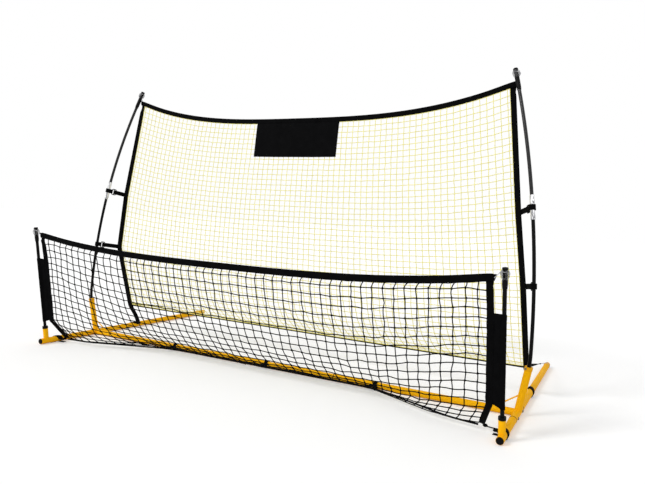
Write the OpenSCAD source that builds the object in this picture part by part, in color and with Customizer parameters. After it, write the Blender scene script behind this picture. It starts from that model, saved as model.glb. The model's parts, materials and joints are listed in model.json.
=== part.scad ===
// Pitch back rebounder with a low front net.
// The front faces -Y, +X is the user's right when seen from the front, and +Z is up.
// The origin is on the ground, under the middle of the whole object.
// Right-hand pieces are drawn at +X, and the left-hand ones are their mirror images.

/* [Base frame] */
// Distance between the centre lines of the two side rails
rail_spacing = 2010; // [1700:10:2300]
// Length of each side rail, over its two end plugs
rail_length = 1145; // [1000:1:1300]
// Distance from a rail's front end to the centre line of the crossbar
crossbar_back = 313; // [270:1:360]
// Outer diameter of the steel tubes
tube_d = 25; // [22:0.5:28]
// Wall of the steel tubes
tube_wall = 1.5; // [1.2:0.1:2]
// Play between a swaged tube end and the tube that it slides into
tube_gap = 0.25; // [0.15:0.05:0.4]
// Slit left between the shoulders of two joined tubes
seam_gap = 1.2; // [0.5:0.1:2]
// Length of a swaged tube end
swage_len = 45; // [42:1:55]
// Reach of the corner joint in front of the crossbar
joint_front = 91; // [80:1:110]
// Reach of the corner joint behind the crossbar
joint_rear = 52; // [50:1:70]
// Reach of the corner joint along the crossbar
joint_side = 104; // [65:1:120]
// Length of the crossbar's middle section
middle_bar_len = 620; // [500:10:700]
// Visible thickness of the plug in a rail's end
plug_face = 2; // [1:0.5:4]
// Depth of the plug inside the tube
plug_depth = 18; // [10:1:30]

/* [Snap buttons] */
// Radius of a snap button
button_r = 4; // [3:0.1:4.5]
// How far a snap button stands out of the tube
button_proud = 3.5; // [2:0.1:5]
// Play around a snap button in its holes
button_gap = 0.25; // [0.15:0.05:0.5]
// Distance from a joint's seam to its snap button
button_back = 26; // [22:1:30]
// Width of the spring leaf that carries the button
leaf_w = 8; // [6:0.5:10]
// Thickness of the spring leaf
leaf_t = 0.8; // [0.5:0.1:1]

/* [Upright sockets] */
// Length of the rear upright socket, from the crossbar's centre line
upright_len = 154; // [130:1:190]
// Outward lean of the rear upright socket, in degrees
upright_lean = 12; // [4:0.5:14]
// Turn of the poles' bending plane from the crossbar, in degrees
bend_turn = 35; // [15:1:45]
// Backward tilt of the poles' bending plane, in degrees
bend_tilt = 3; // [0:0.5:6]
// Diameter of the gusset rod
gusset_d = 5; // [4:0.5:8]
// Distance along the crossbar from the rail to the gusset rod
gusset_in = 88; // [32:1:100]
// Distance up the upright socket to the gusset rod
gusset_up = 70; // [40:1:80]
// Distance from the rail's front end to the foot of the front socket
front_socket_back = 32; // [25:1:50]
// Outer diameter of the front socket
front_socket_d = 22; // [19:0.5:24]
// Length of the front socket, from the rail's centre line
front_socket_len = 58; // [45:1:90]
// Forward lean of the front socket and its pole, in degrees
front_lean = 9; // [0:0.2:12]
// Inward lean of the front socket and its pole, in degrees
front_in = 1; // [0:0.2:4]
// Height of the rim on the rear socket's bush
rear_rim = 12; // [6:1:16]
// Height of the rim on the front socket's bush
front_rim = 9; // [4:1:14]
// How far a bush's rim stands out of its tube
rim_proud = 0.9; // [0.3:0.1:2]
// Play between a pole and what holds it
pole_gap = 0.15; // [0.05:0.05:0.3]

/* [Poles] */
// Diameter of the fibreglass poles
pole_d = 12.5; // [9:0.5:13]
// Depth of a rear pole in its socket
rear_insert = 90; // [50:1:110]
// Depth of a front pole in its socket
front_insert = 34; // [25:1:38]
// Radius of the bow of the rear pole
bow_r = 3030; // [2000:10:4000]
// Radius of the short bend above the rear socket
mouth_bend_r = 260; // [200:10:400]
// Length of the short bend above the rear socket
mouth_bend_len = 55; // [30:1:80]
// Distance along the rear pole from the crossbar to the middle of its ferrule
ferrule_at = 705; // [600:1:760]
// Length of the ferrule
ferrule_len = 86; // [60:1:110]
// Wall of the ferrule
ferrule_wall = 1.6; // [1:0.1:2.5]
// Distance along the rear pole from the crossbar to the top of its tip
rear_top_at = 1226; // [1100:1:1300]
// Distance along the front pole from the rail to the top of its tip
front_top_at = 518; // [480:1:600]
// Length of a rear pole's tip
rear_tip_len = 86; // [80:1:100]
// Length of a front pole's tip
front_tip_len = 62; // [60:1:80]
// Radius of the clear bulb on a tip
bulb_r = 14.5; // [13:0.5:18]

/* [Rebound net] */
// Height of the rebound net's lower corners above the ground
net_low_z = 128; // [90:1:160]
// Distance from the crossbar back to the net's lower corners
net_low_back = 210; // [180:1:260]
// Distance inward from a rail to the outer edge of the net's lower corner
net_low_in = 0; // [-4:1:30]
// Drop from the top of a rear tip to the net's upper corner
net_top_drop = 64; // [44:1:70]
// Distance from a rear pole's centre back to the net's upper corner
net_top_back = 15; // [14:1:25]
// Distance from a rear pole's centre in to the edge of the net's upper corner
net_top_in = 10; // [0:1:20]
// Sag of the net's top edge at the middle
top_sag = 104; // [60:1:140]
// How far the rebound net bulges forward at half its height
net_belly = 30; // [0:5:50]
// How sharply the rebound net sweeps back to its bottom edge
net_sweep = 10; // [2:1:14]
// Number of gaps across the rebound net
net_cols = 18; // [10:2:18]
// Width of the webbing along the net's sides and of the pole straps
web_w = 20; // [16:1:25]
// Thickness of the webbing
web_t = 1.3; // [1:0.1:2]
// Play between a webbing loop and what it goes round
web_gap = 0.15; // [0.1:0.05:0.3]
// Width of the tape along the net's top edge
top_tape_w = 22; // [16:1:28]
// Width of the band along the net's bottom edge
low_tape_w = 8; // [6:1:14]
// Width of a strand of the net's grid
strand_w = 4; // [3:0.5:6]
// Thickness of a strand of the net's grid
strand_t = 3; // [2:0.5:4]
// Width of the plain panel at the top of the net
panel_w = 406; // [300:2:500]
// Height of the plain panel at the top of the net
panel_h = 147; // [100:1:180]

/* [Pole straps] */
// Distance along the rear pole from the crossbar to the lower strap
low_strap_at = 436; // [380:1:480]
// Length of the upper strap, from the pole's centre to the net's edge
up_strap_len = 80; // [65:1:90]
// Length of the lower strap, from the pole's centre to the net's edge
low_strap_len = 107; // [90:1:120]
// Direction of the upper strap, in degrees from the crossbar
up_strap_turn = 125.8; // [110:0.2:140]
// Direction of the lower strap, in degrees from the crossbar
low_strap_turn = 111.6; // [100:0.2:130]
// Length of a strap slider along its strap
slider_len = 22; // [18:1:26]
// How far a slider can be pushed towards its pole
slider_travel = 6; // [5.5:0.5:14]
// Thickness of a slider's bars
slider_bar = 2.4; // [2:0.2:4]
// Width of the slider's bars beside the strap
slider_rim = 5; // [3:0.5:7]
// Width of the slider's end bars
slider_end = 4; // [3:0.5:5]
// Play between a slider and its strap
slider_gap = 0.4; // [0.3:0.1:0.8]
// Distance from the crossbar back to the strap on a side rail
rail_strap_back = 248; // [220:1:300]
// Diameter of the ties and the elastic cords
cord_d = 3; // [2:0.5:4]

/* [Front net] */
// Drop from the top of a front tip to the front net's upper corner
front_top_drop = 33; // [24:1:50]
// Distance from a front pole in to the edge of the front net's upper corner
front_top_in = 31; // [20:1:45]
// Sag of the front net's top edge at the middle
front_sag = 49; // [30:1:90]
// How far the front net hangs nearly straight down before it turns towards the crossbar
front_hang = 216; // [150:2:240]
// How far it runs back, close to the ground, to the crossbar
front_run = 215; // [100:5:240]
// Distance from a front pole's centre to the webbing beside its sleeve
sleeve_w = 29; // [20:1:50]
// Height of a sleeve's top edge above the ground
sleeve_top_z = 388; // [340:1:420]
// Height of a sleeve's bottom edge above the ground, beside the net
sleeve_low_z = 112; // [95:1:140]
// How much lower that edge is at the pole
sleeve_slant = 10; // [0:1:20]
// Distance inward from a rail to the outer edge of the front net's lower corner
front_low_in = 61; // [40:1:90]
// Distance from a rail's front end to the front net's lower corner
front_low_back = 80; // [60:1:120]
// Height of the front net's lower corner
front_low_z = 27; // [20:1:40]
// Distance from a rail's front end to the strap that holds the front net's corner
front_strap_back = 103; // [90:1:130]
// Number of gaps across the front net
front_cols = 18; // [10:2:18]
// Thickness of the fabric of the sleeves and the panel
fabric_t = 1.2; // [0.8:0.1:2]
// Distance from the middle of the crossbar to the outer ties
tie_x = 490; // [360:1:600]

/* [Hidden] */

steel = "orange";
fibre = "#202224";
webbing = "#151515";
yellow_cord = "#d8d060";
pale_cord = "#b9bcc0";
round_fn = 48;
arc_fn = 1440;
tiny = 0.01;
// Play left where one round part is cut to meet another
weld_gap = 0.03;

// Tubes
tube_r = tube_d / 2;
bore_r = tube_r - tube_wall;
swage_r = bore_r - tube_gap;
swage_bore_r = swage_r - tube_wall;
front_bore_r = front_socket_d / 2 - tube_wall;
rail_x = rail_spacing / 2;
rail_z = tube_r + web_gap + web_t;
pole_r = pole_d / 2;
hold_r = pole_r + pole_gap;
ferrule_r = hold_r + ferrule_wall;

// Tips: how deep the pole goes in, the cap, the neck in the bulb, and the bulb's widest point
rear_tip_bore = 40;
front_tip_bore = 24;
tip_r = pole_r + 2;
tip_taper = 12;
tip_foot_r = tip_r - 1;
cap_r = tip_r + 0.5;
cap_h = 6;
cap_round = 1.5;
neck_r = 7;
neck_h = 30;
bulb_drop = 18;
slot_w = 5;
rear_pole_end = rear_top_at - rear_tip_len + rear_tip_bore;
front_pole_end = front_top_at - front_tip_len + front_tip_bore;

// Front pole: a straight line from the rail
front_dir = unit([-tan(front_in), -tan(front_lean), 1]);
// How far the front tips stand ahead of the rails' front ends
front_reach = -front_socket_back - front_dir.y * (front_top_at - bulb_drop)
    + bulb_r * norm([front_dir.x, front_dir.z]);
// The object's middle lies halfway between the front tips and the rails' rear ends
front_y = (front_reach - rail_length) / 2;
rear_y = front_y + rail_length;
bar_y = front_y + crossbar_back;
joint = [rail_x, bar_y, rail_z];
front_foot = [rail_x, front_y + front_socket_back, rail_z];

// Plane in which a rear pole bends: bend_in points inward, bend_up points up
bend_in = [-cos(bend_turn), sin(bend_turn) * cos(bend_tilt), -sin(bend_turn) * sin(bend_tilt)];
bend_up = [0, sin(bend_tilt), cos(bend_tilt)];

// Rear pole's path, by the length from the crossbar
mouth_at = upright_len;
bow_at = mouth_at + mouth_bend_len;
mouth_turn = mouth_bend_len / mouth_bend_r * 180 / PI;
bow_start = mouth_turn - upright_lean;
mouth_pt = mouth_at * [-sin(upright_lean), cos(upright_lean)];
bow_pt = arc_pt(mouth_pt, -upright_lean, mouth_bend_r, mouth_bend_len);

function unit(v) = v / norm(v);
function mix(a, b, t) = a + (b - a) * t;
function bezier(a, b, c, d, t) = let (e = mix(b, c, t))
    mix(mix(mix(a, b, t), e, t), mix(e, mix(c, d, t), t), t);
function deg(l, r) = l / r * 180 / PI;
function arc_pt(p, a, r, l) = p + r * [cos(a) - cos(a + deg(l, r)), sin(a + deg(l, r)) - sin(a)];
function pole_angle(l) =
    l < mouth_at ? -upright_lean :
    l < bow_at ? -upright_lean + deg(l - mouth_at, mouth_bend_r) :
    bow_start + deg(l - bow_at, bow_r);
function pole_2d(l) =
    l < mouth_at ? l * [-sin(upright_lean), cos(upright_lean)] :
    l < bow_at ? arc_pt(mouth_pt, -upright_lean, mouth_bend_r, l - mouth_at) :
    arc_pt(bow_pt, bow_start, bow_r, l - bow_at);
function pole_pt(l) = joint + pole_2d(l).x * bend_in + pole_2d(l).y * bend_up;
function pole_dir(l) = sin(pole_angle(l)) * bend_in + cos(pole_angle(l)) * bend_up;
function front_pt(l) = front_foot + l * front_dir;

// A rear tip is straight, and lines up with its pole at the middle of its bore
tip_mid_at = rear_top_at - rear_tip_len + rear_tip_bore / 2;
rear_tip_dir = pole_dir(tip_mid_at);
rear_tip_top = pole_pt(tip_mid_at) + (rear_top_at - tip_mid_at) * rear_tip_dir;
front_tip_top = front_pt(front_top_at);

// Places children with their Z along z and their X as near x as it can be
module place(p, z, x) {
    zz = unit(z);
    yy = unit(cross(zz, x));
    xx = cross(yy, zz);
    multmatrix([
        [xx.x, yy.x, zz.x, p.x],
        [xx.y, yy.y, zz.y, p.y],
        [xx.z, yy.z, zz.z, p.z],
        [0, 0, 0, 1]
    ]) children();
}

module left() {
    mirror([1, 0, 0]) children();
}

module both() {
    children();
    left() children();
}

module rod(p, q, d) {
    place(p, q - p, abs(unit(q - p).z) > 0.9 ? [1, 0, 0] : [0, 0, 1])
        cylinder(d = d, h = norm(q - p), $fn = 24);
}

module ring(p, axis, r_in, t, w) {
    place(p, axis, abs(unit(axis).z) > 0.9 ? [1, 0, 0] : [0, 0, 1])
        difference() {
            cylinder(r = r_in + t, h = w, center = true, $fn = round_fn);
            cylinder(r = r_in, h = w + 2, center = true, $fn = round_fn);
        }
}

// A strip between two rows of points, with its thickness along n
module strip(a, b, n) {
    k = len(a);
    h = n / 2;
    pts = [for (i = [0:k - 1]) each [a[i] - h, b[i] - h, b[i] + h, a[i] + h]];
    sides = [for (i = [0:k - 2], s = [0:3])
        let (p = 4 * i + s, q = 4 * i + (s + 1) % 4) each [[p, q, q + 4], [p, q + 4, p + 4]]];
    ends = [[0, 3, 2], [0, 2, 1], each [for (f = [[0, 1, 2], [0, 2, 3]]) [for (m = f) m + 4 * (k - 1)]]];
    polyhedron(points = pts, faces = concat(sides, ends));
}

// A length of steel tube along +Z, from z = 0, with a swaged end at its top if asked
module tube(l, swaged_top = false, swaged_foot = false) {
    from = swaged_foot ? tube_wall : -1;
    to = swaged_top ? l - tube_wall : l + 1;
    difference() {
        union() {
            cylinder(r = tube_r, h = l, $fn = round_fn);
            if (swaged_top) translate([0, 0, l - tiny])
                cylinder(r = swage_r, h = swage_len, $fn = round_fn);
            if (swaged_foot) translate([0, 0, -swage_len])
                cylinder(r = swage_r, h = swage_len + tiny, $fn = round_fn);
        }
        translate([0, 0, from]) cylinder(r = bore_r, h = to - from, $fn = round_fn);
        if (swaged_top) translate([0, 0, l - 2 * tube_wall])
            cylinder(r = swage_bore_r, h = swage_len + 3 * tube_wall, $fn = round_fn);
        if (swaged_foot) translate([0, 0, -swage_len - 1])
            cylinder(r = swage_bore_r, h = swage_len + 1 + 2 * tube_wall, $fn = round_fn);
    }
}

/* Snap buttons: each has a place, the way it points and the way to its own tube */
splice_x = middle_bar_len / 2;
snap_front = [[rail_x, bar_y - joint_front + button_back, rail_z], [1, 0, 0], [0, -1, 0]];
snap_rear = [[rail_x, bar_y + joint_rear - button_back, rail_z], [1, 0, 0], [0, 1, 0]];
snap_bar = [[rail_x - joint_side + button_back, bar_y, rail_z], [0, 1, 0], [-1, 0, 0]];
snap_splice = [[splice_x + seam_gap + button_back, bar_y, rail_z], [0, 1, 0], [-1, 0, 0]];
snaps = [snap_front, snap_rear, snap_bar, snap_splice];
collar_r = button_r + 1.6;
collar_t = 1.2;
collar_top = sqrt(pow(swage_bore_r, 2) - pow(collar_r, 2)) - 0.3;
leaf_top = collar_top - collar_t;
leaf_len = button_back - 3;
leaf_floor = -sqrt(pow(swage_bore_r, 2) - pow(leaf_w / 2, 2)) + 0.05;
button_travel = button_proud + tube_wall + tube_gap + 0.25;
spring_top = leaf_top - leaf_t - 0.6;
spring_r = (spring_top - leaf_floor) / 2;

module snap_place(s) {
    place(s[0], s[1], s[2]) children();
}

module snap_hole(s) {
    snap_place(s) cylinder(r = button_r + button_gap, h = tube_d, $fn = round_fn);
}

module snap_button(s) {
    color("silver") snap_place(s) union() {
        rotate_extrude($fn = round_fn) polygon([
            [0, leaf_top], [button_r, leaf_top], [button_r, tube_r + button_proud - 1.5],
            [button_r - 0.5, tube_r + button_proud - 0.5], [button_r - 1.8, tube_r + button_proud],
            [0, tube_r + button_proud]
        ]);
        translate([0, 0, leaf_top]) cylinder(r = collar_r, h = collar_t, $fn = round_fn);
        translate([-collar_r, -leaf_w / 2, leaf_top - leaf_t])
            cube([leaf_len + collar_r, leaf_w, leaf_t + tiny]);
    }
}

module snap_spring(s) {
    snap_place(s) union() {
        translate([-collar_r, -leaf_w / 2, leaf_floor]) cube([leaf_len + collar_r + 0.8, leaf_w, leaf_t]);
        translate([leaf_len + 0.7, 0, leaf_floor + spring_r]) rotate([90, 0, 0]) difference() {
            cylinder(r = spring_r, h = leaf_w, center = true, $fn = round_fn);
            cylinder(r = spring_r - leaf_t, h = leaf_w + 1, center = true, $fn = round_fn);
            translate([-2 * spring_r, 0, 0]) cube([4 * spring_r, 4 * spring_r, leaf_w + 2], center = true);
        }
    }
}

module snap_springs() {
    color("dimgray") both() for (s = snaps) snap_spring(s);
}

/* Steel frame, right-hand side */
module rail_line(r, extra = 0) {
    translate([rail_x, bar_y - joint_front - extra, rail_z]) rotate([-90, 0, 0])
        cylinder(r = r, h = joint_front + joint_rear + 2 * extra, $fn = round_fn);
}

module bar_line(r, extra = 0) {
    translate([rail_x - joint_side - extra, bar_y, rail_z]) rotate([0, 90, 0])
        cylinder(r = r, h = joint_side + extra, $fn = round_fn);
}

module upright_line(r) {
    place(joint, pole_dir(0), bend_in) cylinder(r = r, h = upright_len, $fn = round_fn);
}

module corner_joint() {
    color(steel) difference() {
        union() {
            rail_line(tube_r);
            bar_line(tube_r);
        }
        rail_line(bore_r, 1);
        bar_line(bore_r, 1);
        for (s = [snap_front, snap_rear, snap_bar]) snap_hole(s);
    }
}

module upright_socket() {
    color(steel) difference() {
        upright_line(tube_r);
        place(joint, pole_dir(0), bend_in) cylinder(r = bore_r, h = upright_len + 1, $fn = round_fn);
        rail_line(tube_r + weld_gap, 1);
        bar_line(tube_r + weld_gap, 1);
    }
}

module gusset_rod() {
    difference() {
        rod([rail_x - gusset_in, bar_y, rail_z], pole_pt(gusset_up), gusset_d);
        bar_line(tube_r + weld_gap, 1);
        upright_line(tube_r + weld_gap);
    }
}

module gusset_rods() {
    color(steel) both() gusset_rod();
}

module front_rail() {
    front_len = crossbar_back - joint_front - seam_gap - plug_face;
    color(steel) difference() {
        translate([rail_x, front_y + plug_face, rail_z]) rotate([-90, 0, 0])
            tube(front_len, swaged_top = true);
        snap_hole(snap_front);
    }
}

module rear_rail() {
    rear_len = rail_length - crossbar_back - joint_rear - seam_gap - plug_face;
    color(steel) difference() {
        translate([rail_x, rear_y - plug_face, rail_z]) rotate([90, 0, 0])
            tube(rear_len, swaged_top = true);
        snap_hole(snap_rear);
    }
}

module crossbar_side() {
    side_len = rail_x - joint_side - splice_x - 2 * seam_gap;
    color(steel) difference() {
        translate([splice_x + seam_gap, bar_y, rail_z]) rotate([0, 90, 0])
            tube(side_len, swaged_top = true);
        snap_hole(snap_bar);
        snap_hole(snap_splice);
    }
}

module crossbar_middle() {
    color(steel) difference() {
        translate([-splice_x, bar_y, rail_z]) rotate([0, 90, 0])
            tube(middle_bar_len, swaged_top = true, swaged_foot = true);
        both() snap_hole(snap_splice);
    }
}

module front_socket() {
    color(steel) difference() {
        place(front_foot, front_dir, [1, 0, 0]) difference() {
            cylinder(d = front_socket_d, h = front_socket_len, $fn = round_fn);
            cylinder(r = front_bore_r, h = front_socket_len + 1, $fn = round_fn);
        }
        translate([rail_x, front_y, rail_z]) rotate([-90, 0, 0])
            cylinder(r = tube_r, h = 4 * tube_d, $fn = round_fn);
    }
}

module end_plug() {
    cylinder(r = bore_r - tube_gap / 2, h = plug_depth + tiny, $fn = round_fn);
    translate([0, 0, plug_depth]) cylinder(r = bore_r + tube_wall / 3, h = plug_face, $fn = round_fn);
}

module rail_end_plugs() {
    color(webbing) both() {
        translate([rail_x, front_y + plug_face + plug_depth, rail_z]) rotate([90, 0, 0]) end_plug();
        translate([rail_x, rear_y - plug_face - plug_depth, rail_z]) rotate([-90, 0, 0]) end_plug();
    }
}

bush_floor = 3;

// A bush that lines a socket and closes it under the pole; z = 0 is the socket's mouth
module bush(bore, depth, rim) {
    difference() {
        union() {
            translate([0, 0, -depth - bush_floor])
                cylinder(r = bore - tube_gap / 2, h = depth + bush_floor + tiny, $fn = round_fn);
            cylinder(r = bore + tube_wall + rim_proud, h = rim, $fn = round_fn);
        }
        translate([0, 0, -depth]) cylinder(r = hold_r, h = depth + rim + 1, $fn = round_fn);
    }
}

module front_socket_bushes() {
    color(webbing) both() place(front_pt(front_socket_len), front_dir, [1, 0, 0])
        bush(front_bore_r, front_insert, front_rim);
}

screw_r = 2.5;
screw_head_r = 3.6;
screw_head = 1.5;
rim_gap = 0.3;
rim_bore_r = hold_r + rim_gap;

module screw_line(r, from, to) {
    place(pole_pt(mouth_at), pole_dir(0), bend_in) translate([0, 0, rear_rim / 2])
        rotate([-90, 0, 0]) translate([0, 0, from])
            cylinder(r = r, h = to - from, $fn = round_fn);
}

// The rim stays straight while the pole starts to bend in it, so its bore is a little wider
module upright_bushes() {
    color("#e8b066") both() difference() {
        place(pole_pt(mouth_at), pole_dir(0), bend_in) bush(bore_r, rear_insert, rear_rim);
        place(pole_pt(mouth_at), pole_dir(0), bend_in)
            cylinder(r = rim_bore_r, h = rear_rim + tube_wall, $fn = round_fn);
        screw_line(screw_r, 0, tube_d);
    }
}

module pole_set_screws() {
    color("dimgray") both() union() {
        screw_line(screw_r, rim_bore_r, tube_r + rim_proud + tiny);
        screw_line(screw_head_r, tube_r + rim_proud, tube_r + rim_proud + screw_head);
    }
}

/* Poles, right-hand side */
// A stretch of a rod or tube along the rear pole's bow
module bow_stretch(from, to, r) {
    a = pole_angle(from);
    b = pole_angle(to);
    centre = bow_pt + bow_r * [cos(bow_start), -sin(bow_start)];
    place(joint, cross(bend_in, bend_up), bend_in) translate([centre.x, centre.y, 0])
        rotate([0, 0, 180 - b]) rotate_extrude(angle = b - a, $fn = arc_fn)
            translate([bow_r, 0]) circle(r = r, $fn = round_fn);
}

module mouth_stretch(r, slit) {
    centre = mouth_pt + mouth_bend_r * [cos(upright_lean), sin(upright_lean)];
    slit_angle = deg(slit, mouth_bend_r);
    place(joint, cross(bend_in, bend_up), bend_in) translate([centre.x, centre.y, 0])
        rotate([0, 0, 180 - bow_start + slit_angle])
            rotate_extrude(angle = mouth_turn - 2 * slit_angle, $fn = 720)
                translate([mouth_bend_r, 0]) circle(r = r, $fn = round_fn);
}

// A bent pole is drawn in stretches, each joined to the next by a faint shoulder
shoulder_h = 2;
shoulder_r = pole_r + 0.1;

module shoulder(at) {
    place(pole_pt(at), pole_dir(at), bend_in)
        cylinder(r = shoulder_r, h = shoulder_h, center = true, $fn = round_fn);
}

module rear_pole_lower() {
    slit = shoulder_h / 8;
    color(fibre) union() {
        place(pole_pt(mouth_at - rear_insert), pole_dir(0), bend_in)
            cylinder(r = pole_r, h = rear_insert - slit, $fn = round_fn);
        shoulder(mouth_at);
        mouth_stretch(pole_r, slit);
        shoulder(bow_at);
        bow_stretch(bow_at + slit, ferrule_at - 0.5, pole_r);
    }
}

module rear_pole_upper() {
    color(fibre) bow_stretch(ferrule_at + 0.5, rear_pole_end, pole_r);
}

module pole_ferrules() {
    color("silver") both() difference() {
        bow_stretch(ferrule_at - ferrule_len / 2, ferrule_at + ferrule_len / 2, ferrule_r);
        bow_stretch(ferrule_at - ferrule_len, ferrule_at + ferrule_len, hold_r);
    }
}

module front_pole() {
    color(fibre) rod(front_pt(front_socket_len - front_insert), front_pt(front_pole_end), pole_d);
}

// A moulded tip; z = 0 is its top, and the pole's end goes into the bore from below
module tip(l, bore_depth) {
    rotate_extrude($fn = round_fn) polygon([
        [hold_r, -l], [tip_foot_r, -l], [tip_r, -l + tip_taper], [tip_r, -cap_h - neck_h],
        [neck_r, -cap_h - neck_h], [neck_r, -cap_h], [cap_r, -cap_h], [cap_r, -cap_round],
        [cap_r - cap_round, 0], [0, 0], [0, -l + bore_depth], [hold_r, -l + bore_depth]
    ]);
}

module collar() {
    wall = 1.6;
    foot = -cap_h - neck_h;
    difference() {
        rotate_extrude($fn = round_fn) polygon([
            [neck_r + 0.1, foot], [tip_r, foot], [bulb_r - 2.5, foot + 7], [bulb_r, -bulb_drop],
            [bulb_r - 1.5, -bulb_drop + 6], [bulb_r - 5, -cap_h - 1], [bulb_r - 5 - wall, -cap_h - 1],
            [bulb_r - 1.5 - wall, -bulb_drop + 6 - wall / 2], [bulb_r - wall, -bulb_drop],
            [bulb_r - 2.5 - wall, foot + 7 + wall / 2], [neck_r + 1, foot + 4], [neck_r + 0.1, foot + 4]
        ]);
        for (a = [0, 90]) rotate([0, 0, a])
            translate([-tube_d, -slot_w / 2, foot + 8]) cube([2 * tube_d, slot_w, neck_h]);
    }
}

// One slot of each clear collar faces the net's corner
module rear_tip_place() {
    place(rear_tip_top, rear_tip_dir, rear_corner - rear_tip_top) children();
}

module front_tip_place() {
    place(front_tip_top, front_dir, front_corner - front_tip_top) children();
}

module pole_tips() {
    color(webbing) both() {
        rear_tip_place() tip(rear_tip_len, rear_tip_bore + 1);
        front_tip_place() tip(front_tip_len, front_tip_bore + 1);
    }
}

module tip_collars() {
    color("#8a8d90", 0.6) both() {
        rear_tip_place() collar();
        front_tip_place() collar();
    }
}

/* Rebound net: a is -1 to 1 across, v is 0 at the bottom and 1 at the top */
up_strap_pt = pole_pt(ferrule_at);
low_strap_pt = pole_pt(low_strap_at);
function strap_dir(at, turn) =
    let (h = [cos(turn), sin(turn), 0], t = pole_dir(at)) unit(h - (h * t) * t);
up_strap_dir = strap_dir(ferrule_at, up_strap_turn);
low_strap_dir = strap_dir(low_strap_at, low_strap_turn);
up_strap_end = up_strap_pt + up_strap_len * up_strap_dir;
low_strap_end = low_strap_pt + low_strap_len * low_strap_dir;
rear_corner = rear_tip_top - net_top_drop * rear_tip_dir + [-net_top_in, net_top_back, 0];
low_corner = [rail_x - net_low_in, bar_y + net_low_back, net_low_z];

// Outer edge of the side webbing, and how high each knot is from 0 to 1
side_knots = [low_corner, low_strap_end, up_strap_end, rear_corner];
function high(p, k) = (p.z - k[0].z) / (k[len(k) - 1].z - k[0].z);
side_rows = [5, 3, 4];
function rows(k, n) = [
    for (s = [0:len(n) - 1], i = [0:n[s] - 1]) mix(high(k[s], k), high(k[s + 1], k), i / n[s]), 1
];
net_v = rows(side_knots, side_rows);
function on_knots(k, v, i = 0) =
    i == len(k) - 2 || v <= high(k[i + 1], k)
        ? mix(k[i], k[i + 1], (v - high(k[i], k)) / (high(k[i + 1], k) - high(k[i], k)))
        : on_knots(k, v, i + 1);
function side_pt(v) = on_knots(side_knots, v);
function net_edge_x(v) = side_pt(v).x - web_w;
// How flat a sagging top edge is in the middle: 2 is a parabola
sag_form = 3;
function middle_y(v) =
    mix(rear_corner.y - net_belly * 4 * v * (1 - v), low_corner.y, pow(1 - v, net_sweep));
function net_pt(a, v) = let (
        top_z = rear_corner.z - top_tape_w / 2 - top_sag * (1 - pow(abs(a), sag_form))
    ) [a * net_edge_x(v), mix(middle_y(v), side_pt(v).y, pow(abs(a), 4)), mix(low_corner.z, top_z, v)];
function steps(n) = [for (i = [0:n]) 2 * i / n - 1];

// A grid of strands over surface points p[row][column], one strand_w wide and one strand_t thick
module net_grid(p) {
    nr = len(p) - 1;
    nc = len(p[0]) - 1;
    off = [0, strand_t / 2, 0];
    node_id = function (r, c) r * (nc + 1) + c;
    hole_id = function (r, c, k) (nr + 1) * (nc + 1) + 4 * (r * nc + c) + k;
    cell = function (r, c) [p[r][c], p[r][c + 1], p[r + 1][c + 1], p[r + 1][c]];
    shrunk = function (q, k) let (
            in_w = strand_w / 2 / norm(q[1] - q[0]),
            in_h = strand_w / 2 / norm(q[3] - q[0]),
            beside = k < 2 ? q[1 - k] : q[5 - k],
            above = q[3 - k],
            across = k < 2 ? q[k + 2] : q[k - 2]
        ) mix(mix(q[k], beside, in_w), mix(above, across, in_w), in_h);
    flat = concat(
        [for (r = [0:nr], c = [0:nc]) p[r][c]],
        [for (r = [0:nr - 1], c = [0:nc - 1], k = [0:3]) shrunk(cell(r, c), k)]
    );
    n = len(flat);
    pts = concat([for (q = flat) q - off], [for (q = flat) q + off]);
    rims = [for (r = [0:nr - 1], c = [0:nc - 1], k = [0:3]) let (
            o = [node_id(r, c), node_id(r, c + 1), node_id(r + 1, c + 1), node_id(r + 1, c)],
            j = (k + 1) % 4
        ) [o[k], o[j], hole_id(r, c, j), hole_id(r, c, k)]];
    fronts = [for (f = rims) each [[f[0], f[3], f[2]], [f[0], f[2], f[1]]]];
    backs = [for (f = fronts) [f[0] + n, f[2] + n, f[1] + n]];
    walls = [for (f = rims) each [[f[3], f[3] + n, f[2] + n], [f[3], f[2] + n, f[2]]]];
    outline = concat(
        [for (c = [0:nc - 1]) [node_id(0, c), node_id(0, c + 1)]],
        [for (r = [0:nr - 1]) [node_id(r, nc), node_id(r + 1, nc)]],
        [for (c = [0:nc - 1]) [node_id(nr, nc - c), node_id(nr, nc - c - 1)]],
        [for (r = [0:nr - 1]) [node_id(nr - r, 0), node_id(nr - r - 1, 0)]]
    );
    edges = [for (e = outline) each [[e[0], e[1], e[1] + n], [e[0], e[1] + n, e[0] + n]]];
    polyhedron(points = pts, faces = concat(fronts, backs, walls, edges));
}

module rebound_net() {
    color(yellow_cord) net_grid([for (v = net_v) [for (a = steps(net_cols)) net_pt(a, v)]]);
}

// The top tape's ends run on over the side webbing, and rise a little
tape_rise = web_w / 4;
rear_tape_end = rear_corner + [-web_w / 6, 0, tape_rise + top_tape_w / 2];

module rebound_top_tape() {
    low = [for (a = steps(net_cols)) net_pt(a, 1)];
    end = [web_w, 0, tape_rise];
    inner = concat([low[0] + [-end.x, 0, end.z]], low, [low[net_cols] + end]);
    color(webbing) strip(inner, [for (p = inner) p + [0, 0, top_tape_w]], [0, strand_t, 0]);
}

module rebound_side_tape() {
    inner = [for (v = net_v) net_pt(1, v)];
    color(webbing) strip([for (p = inner) p + [web_w, 0, 0]], inner, [0, strand_t, 0]);
}

module rebound_bottom_tape() {
    ends = [for (a = steps(2)) net_pt(a, 0)];
    color(webbing) strip([for (p = ends) p - [0, 0, low_tape_w]], ends, [0, strand_t, 0]);
}

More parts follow.
